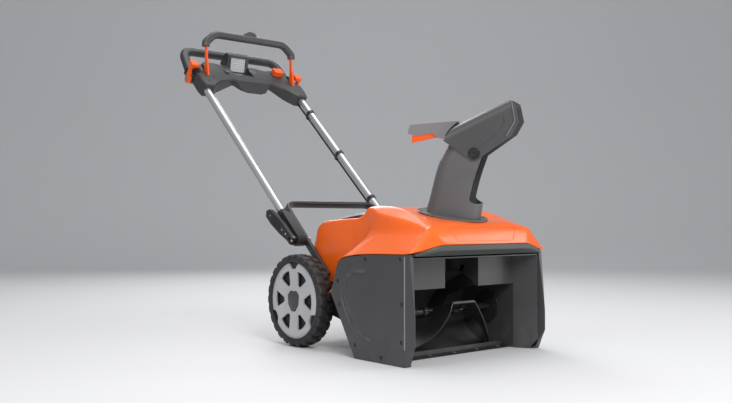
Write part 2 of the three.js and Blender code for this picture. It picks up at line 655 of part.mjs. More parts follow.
const tubeRod = (radius, [s0, s1], sign) =>
  solid(
    new THREE.CylinderGeometry(radius, radius, s1 - s0, 24).translate(sign * TUBE_X, (s0 + s1) / 2, 0),
  );
const handleTube = (sign) =>
  cut(tubeRod(TUBE_RADIUS, [-776, 50], sign), tubeRod(12.4, [-780, 60], sign));

// The bolt carries the cam lever's eye and cross pin on its outer end.
function foldBolt(sign) {
  const cross = (radius, half) => rodZ(radius, [-half, half], sign * 244, 0, 12);
  const eye = join(cross(6.5, 4), cross(2.8, 12.5)).rotate([LEVER_ANGLE, 0, 0]).translate([0, FOLD_S, 0]);
  const shank = rodX(4.3, span(sign, 178, 241), FOLD_S, 0, 12);
  const head = rodX(9, span(sign, 177, 185.6), FOLD_S, 0, 6);
  return join(shank, head, eye);
}

// Built about its cross pin: x outwards, y along the lever, z along the pin.
function camLever(sign) {
  const outline = [
    [0, 13], [24, 14], [60, 19], [120, 20], [156, 14], [166, 0], [158, -16], [120, -21], [60, -19],
    [24, -14], [0, -13],
  ];
  const grip = slabX(outline, span(sign, -6.5, 7));
  const lobe = rodZ(10, [-13, 13], 0, 0, 16);
  const slot = block([-14, 14], [-14, 14], [-4.6, 4.6]);
  return cut(join(grip, lobe), slot, rodZ(3.1, [-30, 30], 0, 0, 12));
}

const CONSOLE_HALF = [
  [0.5, 15], [30, 15], [57, 28], [76, 54], [86, 56], [156, 31], [186, 4], [193, -3], [229, -3],
  [234, 20], [234, 66], [216.5, 70], [216.5, 124], [196, 128], [176, 148], [128, 148], [96, 140],
  [52, 150],
];

// A box standing on the lamp's face plane: across it, up it and out of it.
const onLamp = (across, up, out) =>
  block(across, up, out).rotate([LAMP.lean, 0, 0]).translate([LAMP.x, LAMP.s, LAMP.t]);

// A button with clipped corners, or its well when grown.
const buttonBlock = ({ x, s, half: [a, b] }, grow, range) =>
  slabZ(
    mirrored([[a - 4 + grow, -b - grow], [a + grow, -b + 4 - grow], [a + grow, b - 4 + grow],
      [a - 4 + grow, b + grow]]).map(([u, v]) => [x + u, s + v]),
    range,
  );

function consoleBody() {
  const outline = mirrored([...CONSOLE_HALF, [0.5, 152]]);
  const slab = slabZ(outline, [-28, 28], 5);
  const underside = hull(
    [-60, 260].flatMap((s) =>
      [[165, -40], [150, -24], [84, -1]].flatMap(([x, t]) => [[x, s, t], [-x, s, t]]),
    ),
  );
  const lobeSlope = slabX([[0, -8], [49, 29], [75, 48], [0, 60]], [-80, 80]);
  const lampApproach = slabX([[134.2, 6], [82, 29], [70, 80], [182, 80]], [LAMP.x - 46, LAMP.x + 46]);
  const [width, height] = LAMP.half;
  const lamp = hull(
    [-1, 1].flatMap((side) =>
      [[131.4, 1.8], [170.6, 62.2], [190, 60], [199, 40], [199, 0], [131.4, -0.5]].map(([s, t], i) => [
        LAMP.x + side * (i < 2 ? 46 : 48), s, t,
      ]),
    ),
  );
  const recess = onLamp([-width - GAP, width + GAP], [-height - GAP, height + GAP], [-4, 10]);
  const armSlots = sides.map(({ sign }) => block(span(sign, 189.5, 201.5), [54, 240], [6, 60]));
  const bores = sides.map(({ sign }) => tubeRod(TUBE_RADIUS + GAP, [-80, 51], sign));
  const wells = BUTTONS.map((button) => buttonBlock(button, 0.5, [18.5, 60]));
  const body = join(cut(slab, underside, lobeSlope, lampApproach), lamp);
  return cut(body, recess, ...armSlots, ...bores, ...wells);
}

function gripLoop() {
  const bar = bentBar(
    roundedRoute([[-226, 140, -16], [-217, 257, 0], [217, 257, 0], [226, 140, -16]], 48),
    [17.5, 15],
  );
  const ends = sides.map(({ sign }) =>
    join(
      rodX(RING.radius, span(sign, 222.3, 240), RING.s, RING.t, 20),
      block(span(sign, 222.3, 240), [RING.s, 150], [-35, -11]),
    ),
  );
  return cut(join(bar, ...ends), rodX(4, [-260, 260], RING.s, RING.t, 12));
}

function lockLever(sign) {
  const box = ([x0, x1], [s0, s1], [t0, t1]) =>
    [x0, x1].flatMap((x) => [s0, s1].flatMap((s) => [t0, t1].map((t) => [sign * x, s, t])));
  const ring = rodX(RING.radius, span(sign, 240.4, 252), RING.s, RING.t, 20);
  const foot = box([244, 252], [RING.s - 12, RING.s + 12], [-22, -16]);
  const neck = box([244, 252], [100, 114], [16, 20]);
  const paddle = [...box([223, 252], [95, 127], [31, 40]), ...box([225, 252], [99, 124], [26, 43])];
  return join(ring, hull([...foot, ...neck]), hull([...neck, ...box([236, 252], [99, 120], [28, 34])]),
    hull(paddle));
}

// The bail in its own frame: y runs from its pivot line to the crossbar.
function bail() {
  const legFoot = BAIL_REACH - 52;
  const corners = [[-197, legFoot, 0], [-197, BAIL_REACH, 0], [197, BAIL_REACH, 0], [197, legFoot, 0]];
  const tab = slabZ(
    mirrored([[28, BAIL_REACH - 6], [26, BAIL_REACH + 16], [18, BAIL_REACH + 26], [0.5, BAIL_REACH + 29]]),
    [-11, 11],
    2,
  );
  return join(bentBar(roundedRoute(corners, 44, 5), [14.5, 14.5]), tab);
}

function bailArm(sign) {
  const tip = BAIL_REACH - 52.4;
  const outline = [[0, -14], [26, -12], [52, -7], [tip, -6], [tip, 6], [60, 7], [40, 12], [0, 14]];
  return join(slabX(outline, span(sign, 192, 199)), rodX(15.4, span(sign, 192, 199), 0, 0, 24));
}

// The control cable clipped under the left tube, and its free bend past the fold.
const cableSolid = (points, steps) =>
  sweep(new THREE.CatmullRomCurve3(points.map((p) => new THREE.Vector3(...p))), steps);

// ---------------------------------------------------------------- assembly
const group = new THREE.Group();
const machine = frameAt(group, [0, BOX_SHIFT, 0]);

part(machine, 'auger_housing', augerHousing(), CHARCOAL);
part(machine, 'belt_cover', sideCover(-1), CHARCOAL);
part(machine, 'side_plate', sideCover(1), CHARCOAL);
part(machine, 'scraper_bar', scraper(), BLACK_PLASTIC);
part(machine, 'rear_tray', rearTray(), BLACK_PLASTIC);
part(machine, 'hood', hood(), ORANGE);
part(machine, 'hood_trim', hoodTrim(), MID_GREY);
part(machine, 'battery_bay', batteryBay(), BLACK_PLASTIC);
part(machine, 'battery_lid', batteryLid(), CHARCOAL);
part(
  machine,
  'lid_hinge_pin',
  rodX(LID_PIN.radius, [-LID_PIN.half, LID_PIN.half], LID_AXIS.y, LID_AXIS.z, 12),
  STEEL,
);
part(machine, 'motor', motor(), STEEL);
part(machine, 'controller', block(CONTROLLER.x, CONTROLLER.y, CONTROLLER.z), BLACK_PLASTIC);
part(machine, 'drive_pulley', pulley(DRIVE.radius, 0.01, DRIVE.y, DRIVE.z, BELT_X, 16), STEEL);
part(machine, 'auger_pulley', pulley(AUGER_PULLEY_RADIUS, 10.3, AUGER.y, AUGER.z, BELT_X, 20), BLACK_PLASTIC);
part(machine, 'drive_belt', driveBelt(), RUBBER);
part(machine, 'belt_idler', idler(), STEEL);
part(machine, 'auger_shaft', augerShaft(), STEEL);
BLADE_STARTS.forEach((start, i) => part(machine, `auger_blade_${i + 1}`, blade(start), RUBBER));
part(machine, 'wheel_axle', rodX(AXLE.radius, [-274, 274], 0, AXLE.z, 16), STEEL);

const chuteMount = frameAt(machine, CHUTE_CENTRE, CHUTE_LEAN);
part(chuteMount, 'chute_ring', chuteRing(), BLACK_PLASTIC);
const chute = frameAt(chuteMount, [0, 0, 0], 0, CHUTE_TURN);
part(chute, 'chute', chuteBody(), MID_GREY);
part(chute, 'deflector', deflectorBody(), MID_GREY);
part(chute, 'chute_grip', chuteGrip(), LIGHT_GREY);
part(chute, 'chute_trigger', chuteTrigger(), ORANGE);

const handle = frameAt(machine, HANDLE_ORIGIN, HANDLE_LEAN);
part(handle, 'frame_hoop', frameHoop(), CHARCOAL);
part(handle, 'console', consoleBody(), CHARCOAL);
const [lensWidth, lensHeight] = LAMP.half;
part(handle, 'lamp_lens', onLamp([-lensWidth, lensWidth], [-lensHeight, lensHeight], [-4 + GAP, -0.6]), LENS);
part(handle, 'grip_loop', gripLoop(), CHARCOAL);
const bailFrame = frameAt(handle, [0, BAIL_PIVOT.s, BAIL_PIVOT.t], BAIL_ANGLE);
part(bailFrame, 'bail', bail(), BAIL_GREY);
for (const button of BUTTONS) {
  const colour = button.name === 'start_button' ? ORANGE : MID_GREY;
  part(handle, button.name, buttonBlock(button, 0, [22, 34]), colour);
}
part(
  handle,
  'control_cable',
  cableSolid([[210, -8.6, -19.5], [212, -80, -19.5], [212, -400, -19.5], [212, -640, -19.5],
    [212, -690, -25], [212, -715, -27]], 18),
  RUBBER,
);
part(
  handle,
  'cable_flex',
  cableSolid([[212, -715.4, -27], [212, -770, -36], [212, -810, -39], [210, -855, -33], [207, -900, -20],
    [205, -945, -12], [199, -978, -8], [188.5, -990, -6]], 18),
  RUBBER,
);

for (const { name, sign } of sides) {
  part(machine, `battery_pack_${name}`, batteryPack(sign), CHARCOAL);
  part(machine, `auger_bearing_${name}`, augerBearing(sign), STEEL);
  part(machine, `tyre_${name}`, tyre(sign), RUBBER);
  part(machine, `wheel_core_${name}`, wheelCore(sign), BLACK_PLASTIC);
  part(machine, `rim_face_${name}`, rimFace(sign), RIM_SILVER);
  part(machine, `hub_cap_${name}`, hubCap(sign), CHARCOAL);
  part(chute, `deflector_screw_${name}`, deflectorScrew(sign), BLACK_PLASTIC);
  part(handle, `fold_knuckle_${name}`, foldKnuckle(sign), CHARCOAL);
  part(handle, `handle_tube_${name}`, handleTube(sign), SILVER);
  part(handle, `fold_bolt_${name}`, foldBolt(sign), STEEL);
  const leverFrame = frameAt(handle, [sign * 244, FOLD_S, 0], LEVER_ANGLE);
  part(leverFrame, `cam_lever_${name}`, camLever(sign), BLACK_PLASTIC);
  part(bailFrame, `bail_arm_${name}`, bailArm(sign), ORANGE);
  part(handle, `lock_lever_${name}`, lockLever(sign), ORANGE);
}

export default group;
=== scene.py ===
import math

import bmesh
import bpy
from mathutils import Matrix, Vector


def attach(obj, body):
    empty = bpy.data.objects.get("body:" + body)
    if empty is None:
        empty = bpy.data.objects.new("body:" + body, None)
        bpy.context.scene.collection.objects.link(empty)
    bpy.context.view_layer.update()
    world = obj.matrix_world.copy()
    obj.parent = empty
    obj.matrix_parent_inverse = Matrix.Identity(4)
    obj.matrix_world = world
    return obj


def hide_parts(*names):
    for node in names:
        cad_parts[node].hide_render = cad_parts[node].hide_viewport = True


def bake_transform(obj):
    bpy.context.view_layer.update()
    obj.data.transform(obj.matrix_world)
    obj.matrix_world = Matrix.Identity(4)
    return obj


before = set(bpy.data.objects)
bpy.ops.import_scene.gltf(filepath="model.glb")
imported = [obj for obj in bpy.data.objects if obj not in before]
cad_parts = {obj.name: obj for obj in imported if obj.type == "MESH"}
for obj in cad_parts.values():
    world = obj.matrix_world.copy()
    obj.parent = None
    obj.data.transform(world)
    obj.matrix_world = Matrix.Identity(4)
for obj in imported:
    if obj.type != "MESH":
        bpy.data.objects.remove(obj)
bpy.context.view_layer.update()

SCENE = bpy.context.scene
SIDES = {"right": -1, "left": 1}

# ---------------------------------------------------------------- driving dimensions, millimetres
SHIFT = -110.6  # wheel axle line to the origin
HALF_WIDTH = 280
WALL = 3.5
AXLE_Z = 142
TYRE = {"radius": 142, "inner": 118, "inside": 228, "outside": 285, "lugs": 26}
AUGER = {"y": -345, "z": 120, "radius": 112, "half": 216}
LID_AXIS = (-231, 417)
CHUTE_CENTRE = (0, -405, 402)
CHUTE_HALF = 63
PIVOT = (-50, 194)
CHUTE_ARC = 88
ROOF = {"y": 3.4, "z": 273.2, "slope": 33.7}
FOLD_S = -807
TUBE_X = 217
TUBE_RADIUS = 14
RING = {"s": 98, "t": -24}
BAIL_PIVOT = (70, 22)
BAIL_REACH = 160
LAMP = {"x": -26, "s": 151, "t": 32, "lean": 57, "half": (34, 27)}
GAP = 0.3


def frame_at(parent, place, turn_x=0, turn_z=0):
    turned = Matrix.Rotation(math.radians(turn_x), 4, "X") @ Matrix.Rotation(math.radians(turn_z), 4, "Z")
    return parent @ Matrix.Translation(place) @ turned


MACHINE = frame_at(Matrix.Scale(0.001, 4), (0, SHIFT, 0))
CHUTE_MOUNT = frame_at(MACHINE, CHUTE_CENTRE, 11)
CHUTE = frame_at(CHUTE_MOUNT, (0, 0, 0), 0, 33)
HANDLE = frame_at(MACHINE, (0, 648, 877), 43)
BAIL = frame_at(HANDLE, (0, *BAIL_PIVOT), 44.3)
ON_LAMP = frame_at(HANDLE, (LAMP["x"], LAMP["s"], LAMP["t"]), LAMP["lean"])
LEVER = {sign: frame_at(HANDLE, (sign * 244, FOLD_S, 0), -9) for sign in (-1, 1)}


# ---------------------------------------------------------------- solids
def solid(verts, faces):
    mesh = bpy.data.meshes.new("solid")
    mesh.from_pydata([tuple(v) for v in verts], [], faces)
    bm = bmesh.new()
    bm.from_mesh(mesh)
    bmesh.ops.remove_doubles(bm, verts=bm.verts, dist=1e-4)
    bmesh.ops.recalc_face_normals(bm, faces=bm.faces)
    bm.to_mesh(mesh)
    bm.free()
    obj = bpy.data.objects.new("solid", mesh)
    SCENE.collection.objects.link(obj)
    return obj


def loft(rows):
    """A closed skin through rows of equally many points, capped at both ends."""
    count = len(rows[0])
    faces = [tuple(range(count)), tuple(reversed(range(len(rows) * count - count, len(rows) * count)))]
    for s in range(len(rows) - 1):
        for i in range(count):
            j = (i + 1) % count
            faces.append((s * count + i, s * count + j, s * count + count + j, s * count + count + i))
    return solid([p for row in rows for p in row], faces)


def slab_x(outline, x0, x1):
    return loft([[(x, y, z) for y, z in outline] for x in (x0, x1)])


def slab_z(outline, z0, z1):
    return loft([[(x, y, z) for x, y in outline] for z in (z0, z1)])


def block(xs, ys, zs):
    return slab_z([(xs[0], ys[0]), (xs[1], ys[0]), (xs[1], ys[1]), (xs[0], ys[1])], *zs)


def arc(cx, cy, r, start, end, steps):
    angles = [math.radians(start + (end - start) * i / steps) for i in range(steps + 1)]
    return [(cx + r * math.cos(a), cy + r * math.sin(a)) for a in angles]


def rod_x(radius, x0, x1, y, z, steps=48):
    return slab_x(arc(y, z, radius, 0, 360 - 360 / steps, steps - 1), x0, x1)


def rod_z(radius, z0, z1, x, y, steps=48):
    return slab_z(arc(x, y, radius, 0, 360 - 360 / steps, steps - 1), z0, z1)


def ring_faces(rows, count):
    faces = []
    for s in range(rows):
        for i in range(count):
            a, b = s * count + i, s * count + (i + 1) % count
            c, d = (s + 1) % rows * count + i, (s + 1) % rows * count + (i + 1) % count
            faces.append((a, b, d, c))
    return faces


def revolve_x(profile, y, z, steps=96):
    """A closed profile of (radius, x) turned about a line along X."""
    turns = [math.tau * i / steps for i in range(steps)]
    verts = [(x, y + r * math.cos(a), z + r * math.sin(a)) for a in turns for r, x in profile]
    return solid(verts, ring_faces(steps, len(profile)))


def revolve_z(profile, x, y, steps=96):
    turns = [math.tau * i / steps for i in range(steps)]
    verts = [(x + r * math.cos(a), y + r * math.sin(a), h) for a in turns for r, h in profile]
    return solid(verts, ring_faces(steps, len(profile)))


def fillet(outline, radius, steps=4, closed=True):
    """Rounds the corners of an outline. radius is one number or one for each corner."""
    count = len(outline)
    points = [Vector(p) for p in outline]
    rounded = []
    for i, corner in enumerate(points):
        if not closed and i in (0, count - 1):
            rounded.append(corner)
            continue
        into, out = points[i - 1] - corner, points[(i + 1) % count] - corner
        size = radius[i] if isinstance(radius, (list, tuple)) else radius
        size = min(size, into.length * 0.45, out.length * 0.45)
        start, end = corner + into.normalized() * size, corner + out.normalized() * size
        for k in range(steps + 1):
            t = k / steps
            rounded.append(start * (1 - t) ** 2 + corner * 2 * t * (1 - t) + end * t * t)
    return [tuple(p) for p in rounded]


def bar(route, half, steps=20, flat=2.0):
    """A bar along a smooth route in a plane of constant z, its section a superellipse."""
    centres = [Vector(p) for p in route]
    rows = []
    for i, centre in enumerate(centres):
        before = centres[max(i - 1, 0)]
        after = centres[min(i + 1, len(centres) - 1)]
        along = (after - before).normalized()
        across = Vector((-along.y, along.x, 0)).normalized()
        row = []
        for k in range(steps):
            a = math.tau * k / steps
            c, s = math.cos(a), math.sin(a)
            u = math.copysign(abs(c) ** (2 / flat), c) * half[0]
            v = math.copysign(abs(s) ** (2 / flat), s) * half[1]
            row.append(tuple(centre + across * u + Vector((0, 0, v))))
        rows.append(row)
    return loft(rows)


def pipe(points, radius, steps=16, per_span=6):
    """A round cable on a smooth curve through points."""
    points = [Vector(p) for p in points]
    padded = [points[0] * 2 - points[1], *points, points[-1] * 2 - points[-2]]
    centres = []
    for i in range(1, len(padded) - 2):
        p0, p1, p2, p3 = padded[i - 1:i + 3]
        for k in range(per_span):
            t = k / per_span
            centres.append(0.5 * (2 * p1 + (p2 - p0) * t + (2 * p0 - 5 * p1 + 4 * p2 - p3) * t * t
                                  + (3 * p1 - p0 - 3 * p2 + p3) * t ** 3))
    centres.append(points[-1])
    rows = []
    for i, centre in enumerate(centres):
        along = (centres[min(i + 1, len(centres) - 1)] - centres[max(i - 1, 0)]).normalized()
        side = along.cross(Vector((1, 0, 0))).normalized()
        up = side.cross(along)
        turns = [math.tau * k / steps for k in range(steps)]
        rows.append([tuple(centre + (side * math.cos(a) + up * math.sin(a)) * radius) for a in turns])
    return loft(rows)


def hull(points):
    bm = bmesh.new()
    for p in points:
        bm.verts.new(p)
    result = bmesh.ops.convex_hull(bm, input=bm.verts)
    unused = {v for v in result["geom_interior"] + result["geom_unused"] if isinstance(v, bmesh.types.BMVert)}
    bmesh.ops.delete(bm, geom=list(unused), context="VERTS")
    bmesh.ops.dissolve_limit(bm, angle_limit=0.01, verts=bm.verts, edges=bm.edges)
    mesh = bpy.data.meshes.new("hull")
    bm.to_mesh(mesh)
    bm.free()
    obj = bpy.data.objects.new("hull", mesh)
    SCENE.collection.objects.link(obj)
    return obj


def combine(obj, operation, *tools):
    """Joins, cuts or intersects obj with each tool in turn, and removes the tools."""
    for tool in tools:
        modifier = obj.modifiers.new("boolean", "BOOLEAN")
        modifier.operation = operation
        modifier.solver = "MANIFOLD"
        modifier.object = tool
    bpy.context.view_layer.update()
    shaped = bpy.data.meshes.new_from_object(obj.evaluated_get(bpy.context.evaluated_depsgraph_get()))
    obj.modifiers.clear()
    obj.data = shaped
    for tool in tools:
        bpy.data.objects.remove(tool)
    return obj


def cut(obj, *tools):
    return combine(obj, "DIFFERENCE", *tools)


def join(obj, *tools):
    return combine(obj, "UNION", *tools)


def common(obj, *tools):
    return combine(obj, "INTERSECT", *tools)


def moved(obj, matrix):
    obj.data.transform(matrix)
    return obj


def grouped(objs):
    """Several solids that don't meet, as one object."""
    bm = bmesh.new()
    for obj in objs:
        bm.from_mesh(obj.data)
        bpy.data.objects.remove(obj)
    mesh = bpy.data.meshes.new("group")
    bm.to_mesh(mesh)
    bm.free()
    obj = bpy.data.objects.new("group", mesh)
    SCENE.collection.objects.link(obj)
    return obj


def from_cad(node):
    """A clean copy of a CAD node's mesh, its flat faces whole again, in the machine's millimetres."""
    bm = bmesh.new()
    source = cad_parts[node].data
    verts = [bm.verts.new(v.co) for v in source.vertices]
    for polygon in source.polygons:
        try:
            bm.faces.new([verts[i] for i in polygon.vertices])
        except ValueError:
            pass
    bmesh.ops.remove_doubles(bm, verts=bm.verts, dist=2e-6)
    bmesh.ops.dissolve_limit(bm, angle_limit=math.radians(0.4), verts=bm.verts, edges=bm.edges)
    bmesh.ops.recalc_face_normals(bm, faces=bm.faces)
    mesh = bpy.data.meshes.new(node)
    bm.to_mesh(mesh)
    bm.free()
    obj = bpy.data.objects.new(node, mesh)
    SCENE.collection.objects.link(obj)
    return moved(obj, MACHINE.inverted())


# ---------------------------------------------------------------- materials
def surface(name, colour, roughness, metal=0.0, grain=700, depth=0.00006, mottle=0.10, scuff=0.10,
            wear=0.0, dust=0.0, coat=0.0, specular=0.5, brushed=None, slot=None, glow=0.0):
    """A procedural finish: cloudy colour, streaked roughness, fine grain, worn edges and settled dust."""
    material = bpy.data.materials.new(name)
    material["slot"] = slot or name
    material.use_nodes = True
    tree = material.node_tree
    nodes, links = tree.nodes, tree.links
    shader = nodes["Principled BSDF"]
    shader.inputs["Metallic"].default_value = metal
    shader.inputs["Specular IOR Level"].default_value = specular
    shader.inputs["Coat Weight"].default_value = coat
    shader.inputs["Coat Roughness"].default_value = 0.12
    shader.inputs["Emission Color"].default_value = (1, 1, 1, 1)
    shader.inputs["Emission Strength"].default_value = glow
    place = nodes.new("ShaderNodeTexCoord").outputs["Object"]

    def noise(scale, detail=3.0, stretch=None):
        texture = nodes.new("ShaderNodeTexNoise")
        texture.inputs["Scale"].default_value = scale
        texture.inputs["Detail"].default_value = detail
        source = place
        if stretch:
            mapping = nodes.new("ShaderNodeMapping")
            mapping.inputs["Scale"].default_value = stretch
            links.new(place, mapping.inputs["Vector"])
            source = mapping.outputs["Vector"]
        links.new(source, texture.inputs["Vector"])
        return texture.outputs["Fac"]

    def span(value, low, high, to_low, to_high):
        node = nodes.new("ShaderNodeMapRange")
        node.interpolation_type = "SMOOTHSTEP"
        for socket, number in zip(("From Min", "From Max", "To Min", "To Max"), (low, high, to_low, to_high)):
            node.inputs[socket].default_value = number
        links.new(value, node.inputs["Value"])
        return node.outputs["Result"]

    def maths(operation, a, b):
        node = nodes.new("ShaderNodeMath")
        node.operation = operation
        for socket, value in zip(node.inputs, (a, b)):
            if isinstance(value, (int, float)):
                socket.default_value = value
            else:
                links.new(value, socket)
        return node.outputs["Value"]

    def mixed(factor, a, b):
        node = nodes.new("ShaderNodeMix")
        node.data_type = "RGBA"
        links.new(factor, node.inputs["Factor"])
        for socket, value in ((node.inputs[6], a), (node.inputs[7], b)):
            if isinstance(value, tuple):
                socket.default_value = (*value, 1)
            else:
                links.new(value, socket)
        return node.outputs[2]

    dark = tuple(c * (1 - mottle) for c in colour)
    light = tuple(min(1, c * (1 + mottle)) for c in colour)
    paint = mixed(span(noise(9, 6), 0.3, 0.7, 0, 1), dark, light)
    rough = maths("ADD", roughness - scuff / 2, maths("MULTIPLY", noise(30, 5, (1, 1, 7)), scuff))
    if wear:
        bevel = nodes.new("ShaderNodeBevel")
        bevel.samples = 4
        bevel.inputs["Radius"].default_value = 0.0014
        geometry = nodes.new("ShaderNodeNewGeometry")
        dot = nodes.new("ShaderNodeVectorMath")
        dot.operation = "DOT_PRODUCT"
        links.new(bevel.outputs["Normal"], dot.inputs[0])
        links.new(geometry.outputs["Normal"], dot.inputs[1])
        edge = span(dot.outputs["Value"], 0.86, 0.99, 1, 0)
        edge = maths("MULTIPLY", edge, span(noise(70, 4), 0.42, 0.62, 0, wear))
        worn = tuple(min(1, c * 1.5 + 0.05) for c in colour)
        paint = mixed(edge, paint, worn)
        rough = maths("ADD", rough, maths("MULTIPLY", edge, 0.15))
    if dust:
        axes = nodes.new("ShaderNodeSeparateXYZ")
        links.new(place, axes.inputs["Vector"])
        low = span(axes.outputs["Z"], 0.0, 0.16, dust, 0)
        low = maths("MULTIPLY", low, span(noise(26, 6), 0.35, 0.7, 0, 1))
        paint = mixed(low, paint, (0.30, 0.29, 0.28))
        rough = maths("ADD", rough, maths("MULTIPLY", low, 0.3))
    links.new(paint, shader.inputs["Base Color"])
    links.new(rough, shader.inputs["Roughness"])
    bump = nodes.new("ShaderNodeBump")
    bump.inputs["Strength"].default_value = 0.6
    bump.inputs["Distance"].default_value = depth
    height = noise(grain, 2, brushed)
    links.new(height, bump.inputs["Height"])
    links.new(bump.outputs["Normal"], shader.inputs["Normal"])
    return material


ORANGE = surface("hood_orange", (0.86, 0.125, 0.004), 0.30, depth=0.00003, mottle=0.03, wear=0.15, coat=0.3)
ORANGE_PART = surface("orange_plastic", (0.84, 0.10, 0.004), 0.36, mottle=0.04, wear=0.2)
COVER = surface("side_cover", (0.048, 0.047, 0.050), 0.38, mottle=0.05, wear=0.5, dust=0.05, specular=0.45)
# A light grey for the thin bead on the side cover's fold: a painted highlight for light caught along that
# edge, not a colour of the cover.
FOLD_HIGHLIGHT = surface("side_cover_edge", (0.20, 0.20, 0.20), 0.34, slot="side_cover")
# A lighter copy of chute_grey for the chute's shell: painted light for its lit near face. The deflector keeps
# the darker chute_grey.
CHUTE_PAINTED_LIT = surface("chute_light", (0.098, 0.096, 0.098), 0.34, mottle=0.03, scuff=0.01, wear=0.5,
                      slot="chute_grey")
# A light grey for the bead on the deflector's cheeks: a painted highlight for the bevel catching light, not a
# colour of the chute.
CHEEK_HIGHLIGHT = surface("chute_line", (0.20, 0.20, 0.20), 0.34, slot="chute_grey")
HOUSING = surface("housing", (0.050, 0.049, 0.051), 0.38, mottle=0.10, wear=0.4, dust=0.10)
BLACK = surface("black_plastic", (0.012, 0.012, 0.013), 0.46, mottle=0.15, wear=0.3, dust=0.06)
TRIM = surface("grey_trim", (0.060, 0.066, 0.063), 0.38, wear=0.4)
LID = surface("lid", (0.032, 0.032, 0.034), 0.42, grain=420, depth=0.00012, wear=0.3)
STEEL = surface("steel", (0.46, 0.46, 0.47), 0.32, metal=1.0, mottle=0.15, scuff=0.2)
DARK_STEEL = surface("painted_steel", (0.022, 0.022, 0.024), 0.30, mottle=0.2, scuff=0.2, wear=0.5)
BELT = surface("belt_rubber", (0.015, 0.015, 0.015), 0.7)
BLADE = surface("blade_rubber", (0.010, 0.010, 0.011), 0.36, grain=260, depth=0.0002, scuff=0.3, mottle=0.3)
CHUTE_GREY = surface("chute_grey", (0.062, 0.060, 0.062), 0.34, mottle=0.04, scuff=0.02, wear=0.5)
CHUTE_GRIP = surface("chute_grip_grey", (0.20, 0.19, 0.195), 0.40, mottle=0.05, wear=0.3)
FRAME_PAINT = surface("frame_paint", (0.026, 0.026, 0.028), 0.30, mottle=0.1, wear=0.5)
CONSOLE = surface("console_plastic", (0.030, 0.030, 0.032), 0.40, wear=0.4)
LENS = surface("lamp_lens", (0.62, 0.64, 0.65), 0.12, metal=0.35, grain=300, depth=0.0001, mottle=0.06,
               coat=0.8)
GRIP = surface("grip_plastic", (0.024, 0.024, 0.026), 0.44, grain=500, depth=0.00015, wear=0.3)
BAIL_GREY = surface("bail_grey", (0.050, 0.049, 0.051), 0.40, wear=0.4)
SHEATH = surface("cable_sheath", (0.010, 0.010, 0.010), 0.5)
BATTERY = surface("battery_case", (0.03, 0.03, 0.032), 0.5)
TREAD = surface("tyre", (0.015, 0.015, 0.016), 0.58, grain=350, depth=0.0003, mottle=0.25, scuff=0.25)
WHEEL_BLACK = surface("wheel_core", (0.014, 0.014, 0.015), 0.5)
RIM = surface("rim_silver", (0.46, 0.46, 0.47), 0.36, metal=0.2, mottle=0.04, scuff=0.12, wear=0.2)
CAP = surface("hub_cap", (0.045, 0.045, 0.047), 0.42, wear=0.4)
KNUCKLE = surface("knuckle_plastic", (0.016, 0.016, 0.017), 0.44, grain=380, depth=0.0002, wear=0.5)
TUBE = surface("tube_silver", (0.50, 0.50, 0.51), 0.32, metal=0.8, mottle=0.03, scuff=0.08, grain=240,
               depth=0.00002, brushed=(9, 1, 1))


def add(obj, name, body, material, matrix=MACHINE, replaces=(), bevel=0.6, segments=2, sharp=32, limit=28):
    """Places a finished solid: its material, shading and rounded edges, and the body that it rides on."""
    moved(obj, matrix)
    obj.name = name
    obj.data.name = name
    obj.data.materials.clear()
    obj.data.materials.append(material)
    obj.data.shade_smooth()
    obj.data.set_sharp_from_angle(angle=math.radians(sharp))
    if bevel:
        rounding = obj.modifiers.new("rounding", "BEVEL")
        rounding.width = bevel * 0.001
        rounding.segments = segments
        rounding.limit_method = "ANGLE"
        rounding.angle_limit = math.radians(limit)
        rounding.harden_normals = True
        rounding.miter_outer = "MITER_ARC"
    if body:
        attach(obj, body)
    if replaces:
        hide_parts(*([replaces] if isinstance(replaces, str) else replaces))
    return obj


def refine(node, body, material, bevel=0.8, *cutters, **options):
    """A CAD node with clean faces, rounded edges and any further cuts."""
    obj = from_cad(node)
    if cutters:
        cut(obj, *cutters)
    return add(obj, node + "_shell", body, material, replaces=node, bevel=bevel, **options)


# ---------------------------------------------------------------- fasteners
def screw_head(radius, height, socket=True):
    """A round head about Z, its top at 0, with a six-lobed socket."""
    profile = [(0.01, -height), (radius, -height), (radius, -height * 0.35), (radius * 0.8, 0), (0.01, 0)]
    head = revolve_z(profile, 0, 0, 32)
    if socket:
        lobes = [(radius * (0.42 + 0.07 * math.cos(6 * a)) * math.cos(a),
                  radius * (0.42 + 0.07 * math.cos(6 * a)) * math.sin(a))
                 for a in [math.tau * i / 36 for i in range(36)]]
        cut(head, slab_z(lobes, -height * 0.6, 1))
    return head


def facing_x(sign):
    """Turns something built on +Z to face +X or -X."""
    return Matrix.Rotation(math.radians(90 * sign), 4, "Y")


def side_line(path, half, steps, x):
    """A bar along a path of (y, z) points, lying in the plane at x."""
    line = bar([(y, z, 0) for y, z in path], half, steps)
    moved(line, Matrix(((0, 0, 1, 0), (1, 0, 0, 0), (0, 1, 0, 0), (0, 0, 0, 1))))
    return moved(line, Matrix.Translation((x, 0, 0)))


# ---------------------------------------------------------------- intake housing and its covers
def side_groove(sign):
    """A shallow C-shaped channel moulded into the cover's outer face."""
    path = [(-342, 247), (-284, 245), (-250, 222), (-242, 186), (-252, 150), (-284, 98), (-316, 66),
            (-368, 54)]
    return side_line(fillet(path, 26, 5, closed=False), (11, 3.0), 24, sign * HALF_WIDTH)


COVER_SCREWS = [(-341, 280), (-483, 284), (-219, 214), (-226, 147), (-490, 165), (-296, 37), (-488, 64),
                (-407, 15)]


